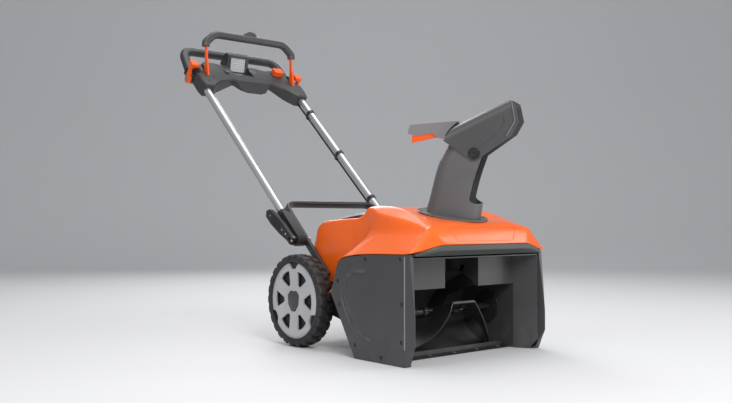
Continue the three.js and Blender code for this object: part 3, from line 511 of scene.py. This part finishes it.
def side_cover(name, node):
    sign = SIDES[name]
    outer = sign * HALF_WIDTH
    depth = 2.3
    cups = [rod_x(6.2, outer - sign * depth, outer + sign * 5, y, z, 32) for y, z in COVER_SCREWS]
    refine(node, "chassis", COVER, 1.6, side_groove(sign), *cups, segments=3)
    heads = []
    for y, z in COVER_SCREWS:
        head = moved(screw_head(4.9, 1.7), facing_x(sign))
        heads.append(moved(head, Matrix.Translation((outer - sign * 0.6, y, z))))
    add(grouped(heads), f"cover_screws_{name}", "chassis", DARK_STEEL, bevel=0.15)
    # A thin light grey bead along the cover's front fold: a painted highlight line where the fold catches
    # light.
    highlight_bead = ((0.25, -498), (0.35, -499.6), (-1.2, -502.4), (-2, -500))
    fold = hull([(sign * (HALF_WIDTH + out), y, z) for out, y in highlight_bead for z in (46, 292)])
    add(fold, f"cover_fold_highlight_{name}", "chassis", FOLD_HIGHLIGHT, bevel=0.3)


def intake():
    refine("auger_housing", "chassis", HOUSING, 0.8, sharp=24)
    refine("scraper_bar", "chassis", BLACK, 0.5)
    bolts = [moved(screw_head(6, 2.4), Matrix.Translation((x, -410, 5.6))) for x in (-195, -98, 0, 98, 195)]
    add(grouped(bolts), "scraper_bolts", "chassis", STEEL, bevel=0.2)
    refine("rear_tray", "chassis", BLACK, 1.2)
    for name, node in (("right", "belt_cover"), ("left", "side_plate")):
        side_cover(name, node)


# ---------------------------------------------------------------- hood
# y, height on the centre line, then the half section (x, z): basin's edge, ridge, upper crease, lower
# crease and skirt, and the height of the bottom edge.
HOOD_ROWS = [
    (-541, 325.5, ((120, 325.5), (150, 325.3), (168, 325), (172, 324.6), (176, 324.2)), 323.4),
    (-519, 372, ((144, 372), (190, 370), (209, 368), (226, 350), (279, 303)), 300.4),
    (-500, 383.5, ((135, 384), (190, 376), (204, 370), (214, 355.5), (280, 300.5)), 298.4),
    (-450, 393, ((131, 394), (180, 397), (203, 380), (213, 355.5), (280, 299)), 297.3),
    (-400, 403, ((130, 403), (168, 415), (203, 391), (212, 355.5), (280, 298.2)), 296.5),
    (-310, 420, ((129, 421), (158, 431), (200, 408), (206, 355), (280, 294.4)), 292.7),
    (-262, 429, ((129, 430), (158, 432), (189, 424), (196, 350), (280, 288)), 286.4),
    (-243, 427, ((129, 428), (158, 430), (184, 427), (190, 336), (280, 284.6)), 283.2),
    (-218, 404, ((129, 404), (158, 409), (183, 408), (187, 322), (280, 272.2)), 270.6),
    (-209, 400, ((129, 400), (158, 404), (183, 403), (186, 312), (280, 253)), 251.6),
    (-187, 395, ((129, 395), (158, 397), (183, 396), (185, 285), (280, 184)), 182.4),
    (-178, 394, ((129, 394), (158, 396), (183, 395), (184.5, 275), (280, 180)), 178.4),
    (-176, 394, ((129, 394), (158, 396), (183, 395), (184, 275), (184, 203)), 200),
    (-100, 392, ((129, 392), (158, 393), (182, 391), (184, 300), (184, 203)), 200),
    (-27, 388, ((129, 388), (158, 388), (180, 386), (184, 300), (184, 203)), 200),
    (10, 375, ((129, 375), (158, 374), (177, 371), (183, 300), (183, 206)), 203),
    (32, 347, ((129, 347), (152, 345), (168, 340), (179, 300), (181, 222)), 219),
    (45, 303, ((129, 303), (148, 302), (163, 300), (172, 285), (175, 262)), 258),
]
CORNER_RADII = [24, 11, 9, 13, 3]


def smooth_rows(rows, spacing):
    """Rows of numbers, each starting with its y, filled in between without overshoot."""
    slopes = [[(b[k] - a[k]) / (b[0] - a[0]) for k in range(len(a))] for a, b in zip(rows, rows[1:])]

    def tangent(i, k):
        if i in (0, len(rows) - 1):
            return slopes[min(i, len(slopes) - 1)][k]
        before, after = slopes[i - 1][k], slopes[i][k]
        return 0 if before * after <= 0 else 2 * before * after / (before + after)

    filled = []
    for i, (a, b) in enumerate(zip(rows, rows[1:])):
        width = b[0] - a[0]
        steps = max(1, round(width / spacing))
        for step in range(steps):
            t = step / steps
            h = (2 * t ** 3 - 3 * t * t + 1, t ** 3 - 2 * t * t + t, 3 * t * t - 2 * t ** 3, t ** 3 - t * t)
            filled.append([a[0] + width * t] + [
                h[0] * a[k] + h[1] * width * tangent(i, k) + h[2] * b[k] + h[3] * width * tangent(i + 1, k)
                for k in range(1, len(a))])
    return filled + [list(rows[-1])]


def hood_loft(rows, thickness):
    flat = [[y, top, *[v for point in half for v in point], bottom] for y, top, half, bottom in rows]
    sections = []
    for y, top, *rest in smooth_rows(flat, 7):
        half = [(rest[2 * k] - thickness, rest[2 * k + 1] - thickness) for k in range(5)]
        bottom = (half[-1][0], rest[-1] - (60 if thickness else 0))
        run = fillet([(0.5, top - thickness), *half, bottom], [0, *CORNER_RADII, 0], 4, closed=False)
        sections.append([(x, y, z) for x, z in run] + [(-x, y, z) for x, z in reversed(run)])
    return loft(sections)


def chute_axis_rod(radius, low, high):
    return moved(rod_z(radius, low, high, 0, 0, 72), MACHINE.inverted() @ CHUTE_MOUNT)


def badge_groove():
    """A fine line round the blank panel on the hood's sloping front."""
    corners = [(-144, 21), (144, 21), (115, -21), (-115, -21)]
    ring = cut(slab_z(fillet(corners, 7, 4), -0.8, 3),
               slab_z(fillet([(x * 0.986, y * 0.92) for x, y in corners], 6, 4), -2, 4))
    slope = math.degrees(math.atan2(372 - 325.5, 541 - 519))
    return moved(ring, frame_at(Matrix.Identity(4), (0, -530, 348.75), slope))


def hood():
    outer = hood_loft(HOOD_ROWS, 0)
    inner_rows = []
    for i, (y, *rest) in enumerate(HOOD_ROWS):
        moves = {-541: 5, -519: 2, -187: 4, 45: -WALL}
        if y != -178:
            inner_rows.append((y + moves.get(y, 0), *rest))
    shell = cut(outer, hood_loft(inner_rows, WALL))
    lid_hole = block((-152, 152), (-238, -24), (340, 460))
    hinge = rod_x(3.3, -160, 160, *LID_AXIS, 24)
    cut(shell, lid_hole, chute_axis_rod(94, -60, 40), hinge, badge_groove())
    add(shell, "hood_shell", "chassis", ORANGE, replaces="hood", bevel=0.9, segments=3, sharp=30, limit=34)
    refine("hood_trim", "chassis", TRIM, 1.2, segments=3)
    liner = cut(block((-155, 155), (-241, -21), (350, 374)), block((-152, 152), (-238, -24), (340, 380)))
    add(liner, "lid_opening_liner", "chassis", BLACK, bevel=0.5)


# ---------------------------------------------------------------- lid, batteries and drive
def under_the_hood():
    refine("battery_lid", "lid", LID, 2.2, segments=3, sharp=30)
    pull = slab_z(fillet([(-34, -40), (34, -40), (28, -29), (-28, -29)], 4), 398, 404.6)
    add(pull, "lid_pull", "lid", BLACK, bevel=1)
    refine("lid_hinge_pin", "chassis", STEEL, 0.4)
    refine("battery_bay", "chassis", BLACK, 1)
    for name in SIDES:
        refine(f"battery_pack_{name}", "chassis", BATTERY, 3, segments=3)
    refine("motor", "chassis", STEEL, 1)
    refine("controller", "chassis", BLACK, 2)
    refine("drive_pulley", "motor_pulley", STEEL, 0.3)
    refine("auger_pulley", "auger", BLACK, 0.3)
    refine("belt_idler", "idler", STEEL, 0.4)
    refine("drive_belt", "chassis", BELT, 0.4)


# ---------------------------------------------------------------- rotor
BLADE_STARTS = (-17, 163)


def blade(start):
    """A rubber paddle: a flat scoop in the middle that trails back towards both ends."""
    rows = []
    half, along = AUGER["half"], 96
    for i in range(along + 1):
        x = -half + 2 * half * i / along
        reach = max(0, abs(x) - 48) / (half - 48)
        turn = math.radians(start + 105 * reach ** 0.8)
        low = 30 + 40 * min(1, reach * 3)
        tip = AUGER["radius"] - 0.6
        section = fillet([(low, -3.8), (tip, -3.8), (tip, 3.8), (low, 3.8)], 1.6, 2)
        rows.append([(x, AUGER["y"] + r * math.cos(turn) - h * math.sin(turn),
                      AUGER["z"] + r * math.sin(turn) + h * math.cos(turn)) for r, h in section])
    return loft(rows)


def at_turn(degrees_round):
    """From the rotor's own frame, with y outwards at that angle, to the machine's."""
    return Matrix.Translation((0, AUGER["y"], AUGER["z"])) @ Matrix.Rotation(
        math.radians(degrees_round), 4, "X")


def rotor():
    for i, start in enumerate(BLADE_STARTS):
        add(blade(start), f"blade_{i + 1}_rubber", "auger", BLADE, replaces=f"auger_blade_{i + 1}", bevel=0)
        bolts = []
        for x, out in ((-35, 62), (35, 62), (-35, 42), (35, 42), (0, 42)):
            head = rod_z(5.5, 12.4 if out == 42 else 10.4, 16.5 if out == 42 else 14.5, x, out, 6)
            bolts.append(moved(head, at_turn(start)))
        add(grouped(bolts), f"blade_{i + 1}_bolts", "auger", STEEL, bevel=0.3)
    refine("auger_shaft", "auger", DARK_STEEL, 0.7)
    collars = [rod_x(15, sign * 60 - 6, sign * 60 + 6, AUGER["y"], AUGER["z"], 40) for sign in (-1, 1)]
    add(grouped(collars), "shaft_collars", "auger", DARK_STEEL, bevel=1)
    for name in SIDES:
        refine(f"auger_bearing_{name}", "chassis", STEEL, 0.6)


# ---------------------------------------------------------------- discharge chute
def channel_plan(half, front, rear, bulge):
    """Half width, the front corners' y, the rear's y and how far the front bows out."""
    run = [(half * math.sin(math.radians(a)), front - bulge * math.cos(math.radians(a))) for a in
           (0.5, 12, 24, 36, 50, 66)] + [(half, front)]
    run += [(half * max(math.cos(math.radians(a)), 0.001) ** 0.8, rear - 48 + 48 * math.sin(math.radians(a)))
            for a in range(0, 90, 6)]
    return run + [(-x, y) for x, y in reversed(run)]


def chute_stack(shrink):
    levels = [(0.6, -50, 78), (32, -50, 72), (48, -50, 70), (139, -62, 59), (206, -75, 38)]
    levels = smooth_rows(levels, 9)
    levels += [(z, -75, PIVOT[0] + math.sqrt(CHUTE_ARC ** 2 - (z - PIVOT[1]) ** 2))
               for z in range(212, 270, 7)]
    rows = []
    for i, (z, front, rear) in enumerate(levels):
        z = z - 4 * shrink if i == 0 else z
        plan = channel_plan(CHUTE_HALF - shrink, front + shrink, rear - shrink, 34)
        rows.append([(x, y, z) for x, y in plan])
    return loft(rows)


def chute_parts():
    window = fillet([(-200, 50), (-66, 50), (-52, 58), (-58, 121), (-72, 189), (-74, 206), (-40, 226),
                     (0, 267), (0, 320), (-200, 320)], [0, 14, 10, 30, 20, 8, 10, 6, 0, 0], 5)
    flange = revolve_z([(40, 0.6), (104.6, 0.6), (105, 1.2), (105, 4.6), (104, 5.6), (70, 5.6), (40, 5.6)],
                       0, 0)
    shell = join(chute_stack(0), flange)
    cut(shell, chute_stack(WALL), rod_z(41, -5, 5.7, 0, 0, 24), slab_x(window, -90, 90),
        rod_x(4.4, -90, 90, *PIVOT, 24))
    # The shell takes the lighter copy of the chute grey, painted light for its lit face.
    add(shell, "chute_shell", "chute", CHUTE_PAINTED_LIT, CHUTE, replaces="chute", bevel=0.8, sharp=34)
    refine("chute_ring", "chassis", BLACK, 0.8)
    notches = [rod_z(3.4, 5.6, 7.4, 94 * math.cos(a), 94 * math.sin(a), 24)
               for a in [math.tau * (k + 0.5) / 8 for k in range(8)]]
    add(grouped(notches), "flange_studs", "chute", CHUTE_GREY, CHUTE, bevel=0.5)


def under_roof(half, drop):
    corner = [(half - 22, -1), (half - 8, -8), (half, -24)]
    run = fillet([(0.5, -drop), *[(x, t - drop) for x, t in corner], (half, -420)], [0, 14, 9, 12, 0], 4,
                 closed=False)
    section = [(x, t) for x, t in run] + [(-x, t) for x, t in reversed(run)]
    return moved(slab_z(section, -180, 320), frame_at(Matrix.Identity(4), (0, ROOF["y"], ROOF["z"]),
                                                      90 - ROOF["slope"]))


CHEEK = 68  # half width of the deflector
CHEEK_LINES = {
    name: fillet(path, 7, 4, closed=False) for name, path in (
        ("inner", [(-66, 214), (-113, 264), (-121, 290), (-106, 342)]),
        ("front", [(-128, 252), (-146, 296), (-128, 351)]))
}


def deflector_parts():
    outline = [*arc(*PIVOT, 95.5, 14, 56, 14), (-120, 355), (-143, 346), (-161, 297), (-146, 257), (-72, 190),
               *arc(*PIVOT, 20, 200, 290, 12)]
    outer = common(hull([(x, y, z) for y, z in outline for x in (-CHEEK, CHEEK)]), under_roof(CHEEK, 0))
    inner = [*arc(*PIVOT, 91.5, 5, 56, 14), (-176, 390), (-260, 300), (-120, 120)]
    hollow = common(slab_x(inner, -64.2, 64.2), under_roof(64.2, WALL))
    grooves = [side_line(path, (2.2, 2.2), 8, sign * CHEEK)
               for sign in (-1, 1) for path in CHEEK_LINES.values()]
    cut(outer, hollow, rod_x(4.4, -90, 90, *PIVOT, 24), *grooves)
    add(outer, "deflector_shell", "deflector", CHUTE_GREY, CHUTE, replaces="deflector", bevel=1.0, segments=3,
        sharp=34)
    # Thin light grey beads beside the cheeks' front grooves: a painted highlight line along the front edge.
    for name, sign in SIDES.items():
        highlight_bead = side_line([(y - 5, z + 2) for y, z in CHEEK_LINES["front"]], (1.0, 0.9), 8, sign * 67.8)
        add(highlight_bead, f"deflector_highlight_bead_{name}", "deflector", CHEEK_HIGHLIGHT, CHUTE, bevel=0)
    for name, sign in SIDES.items():
        profile = [(4.4, 0), (17, 0), (17, 2.2), (15.4, 3.6), (13, 3.6), (12.2, 2.4), (10.8, 2.4), (10, 4.2),
                   (6.4, 4.6), (4.4, 3.2)]
        rosette = revolve_z(profile, 0, 0, 64)
        core = cut(rod_z(4.35, -14, 3.0, 0, 0, 32), rod_z(2.4, 0.6, 4, 0, 0, 6))
        nut = rod_z(8, -14.2, -10, 0, 0, 6)
        knob = grouped([rosette, core, nut])
        moved(knob, Matrix.Translation((sign * (CHEEK + GAP), *PIVOT)) @ facing_x(sign))
        add(knob, f"deflector_rosette_{name}", "deflector", BLACK, CHUTE, replaces=f"deflector_screw_{name}",
            bevel=0.3)
    refine("chute_grip", "deflector", CHUTE_GRIP, 3.2, segments=4, sharp=38)
    joint = slab_x([*arc(*PIVOT, 97, 21, 50, 8), *arc(*PIVOT, 106, 50, 20, 8)], -17.7, 17.7)
    add(joint, "chute_grip_joint", "deflector", BLACK, CHUTE, bevel=0.5)
    refine("chute_trigger", "trigger", ORANGE_PART, 1.4, segments=3)
    pin = rod_x(2.1, -17.6, 17.6, 62, 230, 20)
    add(pin, "trigger_pin", "deflector", STEEL, CHUTE, bevel=0.3)


# ---------------------------------------------------------------- wheels
def tread_radius(angle, across):
    """The tyre's outer radius: staggered lugs with scalloped shoulders."""
    pitch = math.tau / TYRE["lugs"]
    shift = 0.5 if across > 0.5 else 0.0
    phase = (angle / pitch + shift + 0.35 * abs(across - 0.5)) % 1
    wall = min(max((0.5 - abs(phase - 0.5) - 0.14) / 0.07, 0), 1)
    groove = min(max((abs(across - 0.5) - 0.03) / 0.03, 0), 1)
    return TYRE["radius"] - 5.2 * (1 - wall * groove)


def tyre_part(name, sign):
    inside, outside = TYRE["inside"], TYRE["outside"]
    turns = TYRE["lugs"] * 14
    verts = []
    stations = [0, 0.02, 0.06, 0.12, 0.3, 0.44, 0.47, 0.5, 0.53, 0.56, 0.7, 0.88, 0.94, 0.98, 1]
    for i in range(turns):
        angle = math.tau * i / turns
        row = [(TYRE["inner"], inside + 4), (TYRE["inner"] + 6, inside + 0.8), (TYRE["inner"] + 12, inside)]
        for k in stations:
            crown = 5.5 * abs(2 * k - 1) ** 3
            shoulder = 4 * (1 - min(1, min(k, 1 - k) / 0.06)) ** 2
            width = (outside - 2.5) - (inside + 2)
            row.append((tread_radius(angle, k) - crown * 0.4 - shoulder, inside + 2 + width * k))
        row += [(TYRE["inner"] + 12, outside), (TYRE["inner"] + 5, outside - 0.6),
                (TYRE["inner"], outside - 3)]
        verts += [(sign * x, r * math.cos(angle), AXLE_Z + r * math.sin(angle)) for r, x in row]
    obj = solid(verts, ring_faces(turns, len(verts) // turns))
    low = min(v.co.z for v in obj.data.vertices)
    moved(obj, Matrix.Translation((0, 0, max(0, -low))))
    add(obj, f"tyre_{name}_tread", f"wheel_{name}", TREAD, replaces=f"tyre_{name}", bevel=0, sharp=50)


def window_cutters(x0, x1, grow=0.0):
    cutters = []
    for k in range(6):
        def point(r, a):
            turn = math.radians(60 * k + a)
            return (r * math.cos(turn), AXLE_Z + r * math.sin(turn))
        outline = [point(50 + grow, -7), point(93 - grow, -17), point(96 - grow, 0), point(93 - grow, 17),
                   point(50 + grow, 7)]
        cutters.append(slab_x(fillet(outline, [3, 6, 30, 6, 3], 4), x0, x1))
    return cutters


SHIELD = [(-27, 16), (-14, 29), (0, 27), (14, 29), (27, 16), (24, -12), (9, -32), (-9, -32), (-24, -12)]


def wheel_parts(name, sign):
    core = revolve_x([(r, sign * x) for r, x in ((7, 233), (24, 233), (24, 262), (108, 266), (108, 238),
                                                  (117.6, 238), (117.6, 275), (7, 275))], 0, AXLE_Z)
    cut(core, *window_cutters(*sorted((sign * 268, sign * 290))))
    add(core, f"wheel_core_{name}_fine", f"wheel_{name}", WHEEL_BLACK, replaces=f"wheel_core_{name}",
        bevel=0.8)
    face = [(12, 275.3), (117.6, 275.3), (117.6, 278.2), (116.2, 279.6), (108, 282.2), (103, 283),
            (84, 281.4), (60, 279.6), (46, 279.6), (38, 280.6), (12, 281)]
    rim = revolve_x([(r, sign * x) for r, x in face], 0, AXLE_Z, 128)
    through = sorted((sign * 270, sign * 290))
    cutters = window_cutters(*through)
    shield = [(y * 1.05, AXLE_Z + z * 1.05) for y, z in SHIELD]
    cutters.append(slab_x(fillet(shield, 3, 3), *through))
    for angle in (90, 210, 330):
        turn = Matrix.Rotation(math.radians(angle), 2)
        notch = fillet([(97, -13), (97, 13), (108, 20), (125, 31), (125, -31), (108, -20)],
                       [7, 7, 10, 0, 0, 10], 5)
        placed = [turn @ Vector(p) for p in notch]
        cutters.append(slab_x([(p.x, AXLE_Z + p.y) for p in placed], *through))
    cut(rim, *cutters)
    add(rim, f"rim_face_{name}_fine", f"wheel_{name}", RIM, replaces=f"rim_face_{name}", bevel=1.0,
        segments=3, sharp=30)
    refine(f"hub_cap_{name}", f"wheel_{name}", CAP, 1.6, segments=3)
    tyre_part(name, sign)


# ---------------------------------------------------------------- lower frame and handle
def round_route(corners, radius, steps=10):
    return fillet(corners, radius, steps, closed=False)


def lower_frame():
    hoop = bar(round_route([(-193, -968, 0), (-193, -641, 4), (193, -641, 4), (193, -968, 0)], 42, 12),
               (7, 13), 28, 3.2)
    cut(hoop, rod_x(5, -220, 220, FOLD_S, 0, 24))
    add(hoop, "hoop_bar", "chassis", FRAME_PAINT, HANDLE, replaces="frame_hoop", bevel=0, sharp=40)
    refine("wheel_axle", "chassis", STEEL, 0.5)


def tube_rod(radius, low, high, sign, steps=64):
    """A rod on a handle tube's axis, from low to high along the handle."""
    section = arc(0, 0, radius, 0, 360 - 360 / steps, steps - 1)
    return loft([[(sign * TUBE_X + x, s, z) for x, z in section] for s in (low, high)])


def cable_clip(sign, s):
    ring = cut(tube_rod(TUBE_RADIUS + 2.4, s - 7, s + 7, sign),
               tube_rod(TUBE_RADIUS + 0.1, s - 9, s + 9, sign))
    saddle = block((sign * TUBE_X - 9, sign * TUBE_X + 2), (s - 7, s + 7), (-24.5, -14.5))
    hole = moved(rod_z(3.7, -20, 20, 0, 0, 24), frame_at(Matrix.Identity(4), (212, s, -19.5), 90))
    return cut(join(ring, saddle), hole)


def tubes_and_fold():
    for name, sign in SIDES.items():
        tube = cut(tube_rod(TUBE_RADIUS, -776, 50, sign), tube_rod(12.4, -780, 60, sign))
        add(tube, f"tube_{name}_fine", "handle", TUBE, HANDLE, replaces=f"handle_tube_{name}", bevel=0.4)
        refine(f"fold_knuckle_{name}", "handle", KNUCKLE, 2.0, segments=3)
        refine(f"fold_bolt_{name}", "handle", STEEL, 0.3)
        refine(f"cam_lever_{name}", f"cam_{name}", KNUCKLE, 1.8, segments=3)
        rivets = []
        for y, r in ((34, 3.4), (58, 3.4), (139, 2.8)):
            head = revolve_z([(0.01, 0), (r, 0), (r, 0.7), (r * 0.7, 1.7), (0.01, 2.0)], 0, 0, 28)
            rivets.append(moved(head, Matrix.Translation((sign * 7, y, 0)) @ facing_x(sign)))
        add(grouped(rivets), f"cam_rivets_{name}", f"cam_{name}", STEEL, LEVER[sign], bevel=0)
        ribs = [slab_x([(y, -15), (y + 2.6, -15), (y + 2.6, 15), (y, 15)], *sorted((sign * 6.8, sign * 8.2)))
                for y in range(76, 128, 9)]
        add(grouped(ribs), f"cam_ribs_{name}", f"cam_{name}", KNUCKLE, LEVER[sign], bevel=0.5)
        collar = cut(tube_rod(TUBE_RADIUS + 3, -692, -676, sign),
                     tube_rod(TUBE_RADIUS + 0.2, -700, -660, sign))
        add(collar, f"tube_collar_{name}", "handle", KNUCKLE, HANDLE, bevel=1)
    for i, s in enumerate((-92, -345, -600)):
        add(cable_clip(1, s), f"cable_clip_{i + 1}", "handle", BLACK, HANDLE, bevel=0.5)


CABLE = [(210, -8.6, -19.5), (212, -80, -19.5), (212, -400, -19.5), (212, -640, -19.5), (212, -690, -25),
         (212, -715, -27)]
CABLE_FLEX = [(212, -715.4, -27), (212, -770, -36), (212, -810, -39), (210, -855, -33), (207, -900, -20),
              (205, -945, -12), (199, -978, -8), (188.5, -990, -6)]


def cables():
    add(pipe(CABLE, 3.4), "cable_run", "handle", SHEATH, HANDLE, replaces="control_cable", bevel=0)
    flex = add(pipe(CABLE_FLEX, 3.4), "cable_bend", None, SHEATH, HANDLE, replaces="cable_flex", bevel=0)
    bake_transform(flex)


# ---------------------------------------------------------------- console, loop, bail and levers
def lens_facets():
    """The lamp's window: a grid of small cut facets."""
    columns, rows = 7, 6
    width, height = LAMP["half"][0] * 2 / columns, LAMP["half"][1] * 2 / rows
    verts, faces = [], []
    for i in range(columns):
        for j in range(rows):
            base = len(verts)
            x, y = width * (i + 0.5) - LAMP["half"][0], height * (j + 0.5) - LAMP["half"][1]
            square = ((-1, -1), (1, -1), (1, 1), (-1, 1))
            for spread, z in ((0.5, -3.7), (0.5, -2.4), (0.2, -0.6)):
                verts += [(x + a * width * spread, y + b * height * spread, z) for a, b in square]
            faces += [(base + 3, base + 2, base + 1, base), (base + 8, base + 9, base + 10, base + 11)]
            for k in range(4):
                n = (k + 1) % 4
                faces += [(base + k, base + n, base + 4 + n, base + 4 + k),
                          (base + 4 + k, base + 4 + n, base + 8 + n, base + 8 + k)]
    return solid(verts, faces)


def console_parts():
    to_machine = MACHINE.inverted() @ HANDLE
    seams = []
    for sign in SIDES.values():
        path = [(96, 64, 0), (112, 92, 0), (118, 134, 0)]
        line = bar(round_route([(sign * x, y, z) for x, y, z in path], 14), (0.8, 0.8), 8)
        seams.append(moved(line, to_machine @ Matrix.Translation((0, 0, 28))))
    disc = moved(rod_z(19, 27.1, 30, 34, 124, 64), to_machine)
    refine("console", "handle", CONSOLE, 3.0, disc, *seams, segments=4, sharp=30)
    add(rod_z(17.6, 26.4, 28.3, 34, 124, 64), "console_plate", "handle", TRIM, HANDLE, bevel=0.6)
    add(lens_facets(), "lens_facets", "handle", LENS, ON_LAMP, replaces="lamp_lens", bevel=0, sharp=5)
    w, h = LAMP["half"]
    border = [(-w - 6, -h - 5), (w + 6, -h - 5), (w + 6, h + 6), (-w - 6, h + 6)]
    window = [(-w, -h), (w, -h), (w, h), (-w, h)]
    bezel = cut(slab_z(fillet(border, 7), 0, 2.2), slab_z(fillet(window, 5), -3, 5))
    add(bezel, "lamp_bezel", "handle", CONSOLE, ON_LAMP, bevel=0.8)
    heads = []
    for x, s in ((-207, 22), (207, 22), (-172, 52), (172, 52)):
        heads.append(moved(screw_head(4.6, 2.0), Matrix.Translation((x, s, 28.8))))
    add(grouped(heads), "console_screws", "handle", DARK_STEEL, HANDLE, bevel=0.2)
    start = slab_z(fillet([(128.5, 113.5), (171.5, 113.5), (171.5, 146.5), (128.5, 146.5)], 8, 5), 22.3, 47)
    add(start, "start_button_cap", "start_button", ORANGE_PART, HANDLE, replaces="start_button", bevel=3,
        segments=4)
    refine("lamp_button", "lamp_button", TRIM, 1.6, segments=3)


def loop_parts():
    loop = bar(round_route([(-226, 140, -16), (-217, 257, 0), (217, 257, 0), (226, 140, -16)], 48, 14),
               (17.5, 15), 32, 2.5)
    ends = []
    for sign in SIDES.values():
        x0, x1 = sorted((sign * 222.3, sign * 240))
        ends += [rod_x(17, x0, x1, RING["s"], RING["t"]), block((x0, x1), (RING["s"], 150), (-35, -11))]
    join(loop, *ends)
    cut(loop, rod_x(4, -260, 260, RING["s"], RING["t"], 24))
    add(loop, "loop_bar", "grip", GRIP, HANDLE, replaces="grip_loop", bevel=1.0, segments=3, sharp=40)
    for name, sign in SIDES.items():
        refine(f"lock_lever_{name}", f"lock_{name}", ORANGE_PART, 1.8, segments=3)
        head = moved(screw_head(7.5, 2.6), facing_x(sign))
        moved(head, Matrix.Translation((sign * 252.6, RING["s"], RING["t"])))
        washer = rod_x(10.5, *sorted((sign * 251.8, sign * 252.8)), RING["s"], RING["t"])
        add(grouped([head]), f"lock_screw_{name}", f"lock_{name}", STEEL, HANDLE, bevel=0.3)
        add(washer, f"lock_washer_{name}", f"lock_{name}", STEEL, HANDLE, bevel=0.2)


def bail_parts():
    foot = BAIL_REACH - 52
    shoulder = BAIL_REACH - 36
    route = round_route([(-197, foot, 0), (-197, shoulder, 0), (-158, BAIL_REACH, 0), (158, BAIL_REACH, 0),
                         (197, shoulder, 0), (197, foot, 0)], 22, 8)
    half = [(28, -6), (26, 16), (18, 26), (0.5, 29)]
    outline = [(x, BAIL_REACH + y) for x, y in half] + [(-x, BAIL_REACH + y) for x, y in reversed(half)]
    tab = slab_z(fillet(outline, [0, 10, 12, 30, 30, 12, 10, 0], 5), -11, 11)
    crossbar = join(bar(route, (14.5, 14.5), 32, 2.3), tab)
    add(crossbar, "bail_bar", "bail", BAIL_GREY, BAIL, replaces="bail", bevel=2.0, segments=4, sharp=40)
    for name, sign in SIDES.items():
        refine(f"bail_arm_{name}", "bail", ORANGE_PART, 1.0)
        head = moved(screw_head(5.6, 2.0), facing_x(-sign))
        add(moved(head, Matrix.Translation((sign * 191.2, 0, 0))), f"bail_pivot_{name}", "bail", STEEL, BAIL,
            bevel=0.3)


# ---------------------------------------------------------------- studio
def studio():
    """A pale floor that curves up into a backdrop, lit by large soft panels."""
    away = Vector((math.sin(math.radians(40.4)), math.cos(math.radians(40.4)), 0))
    across = Vector((away.y, -away.x, 0))
    bend, radius = 3.8, 2.4
    turns = [math.radians(a) for a in range(6, 91, 6)]
    curve = [(bend + radius * math.sin(a), radius - radius * math.cos(a)) for a in turns]
    profile = [(-30, 0), (bend, 0), *curve, (bend + radius, 12)]
    verts = [tuple(away * out + across * side + Vector((0, 0, up - 0.0006)))
             for out, up in profile for side in (-30, 30)]
    faces = [(2 * i, 2 * i + 1, 2 * i + 3, 2 * i + 2) for i in range(len(profile) - 1)]
    floor = solid(verts, faces)
    floor.data.shade_smooth()
    floor.name = "floor"
    pale = bpy.data.materials.new("floor")
    pale.use_nodes = True
    pale.node_tree.nodes["Principled BSDF"].inputs["Base Color"].default_value = (0.70, 0.70, 0.71, 1)
    pale.node_tree.nodes["Principled BSDF"].inputs["Roughness"].default_value = 0.65
    pale.node_tree.nodes["Principled BSDF"].inputs["Specular IOR Level"].default_value = 0.2
    floor.data.materials.append(pale)
    SCENE.view_settings.view_transform = "Standard"
    world = bpy.data.worlds.new("studio")
    SCENE.world = world
    world.use_nodes = True
    world.node_tree.nodes["Background"].inputs["Color"].default_value = (0.95, 0.97, 1.0, 1)
    world.node_tree.nodes["Background"].inputs["Strength"].default_value = 0.44

    def area(name, place, target, size, power):
        light = bpy.data.lights.new(name, "AREA")
        light.shape = "RECTANGLE"
        light.size, light.size_y = size
        light.energy = power
        lamp = bpy.data.objects.new(name, light)
        SCENE.collection.objects.link(lamp)
        lamp.location = place
        lamp.rotation_euler = (Vector(target) - Vector(place)).to_track_quat("-Z", "Y").to_euler()

    middle = (0, -0.3, 0.4)
    area("key", (-1.2, -3.0, 2.1), middle, (1.4, 1.2), 74)
    area("left", (-3.0, -0.5, 1.9), middle, (0.7, 2.0), 15)
    area("right", (2.6, -2.4, 1.1), middle, (1.0, 2.0), 26)
    area("top", (0.3, 0.2, 3.0), middle, (2.2, 2.2), 40)
    area("back", (1.6, 2.6, 2.2), middle, (1.6, 1.2), 34)


def camera():
    data = bpy.data.cameras.new("camera")
    data.sensor_width = 36
    data.lens = 41.75
    data.clip_start = 0.05
    eye = bpy.data.objects.new("camera", data)
    SCENE.collection.objects.link(eye)
    eye.location = (-1.810, -2.2516, 0.385)
    azimuth, pitch = math.radians(40.41), math.radians(1.355)
    level = math.cos(pitch)
    forward = Vector((math.sin(azimuth) * level, math.cos(azimuth) * level, math.sin(pitch)))
    eye.rotation_euler = forward.to_track_quat("-Z", "Y").to_euler()
    SCENE.camera = eye


camera()
intake()
hood()
under_the_hood()
rotor()
chute_parts()
deflector_parts()
for side_name, side_sign in SIDES.items():
    wheel_parts(side_name, side_sign)
lower_frame()
tubes_and_fold()
cables()
console_parts()
loop_parts()
bail_parts()
studio()
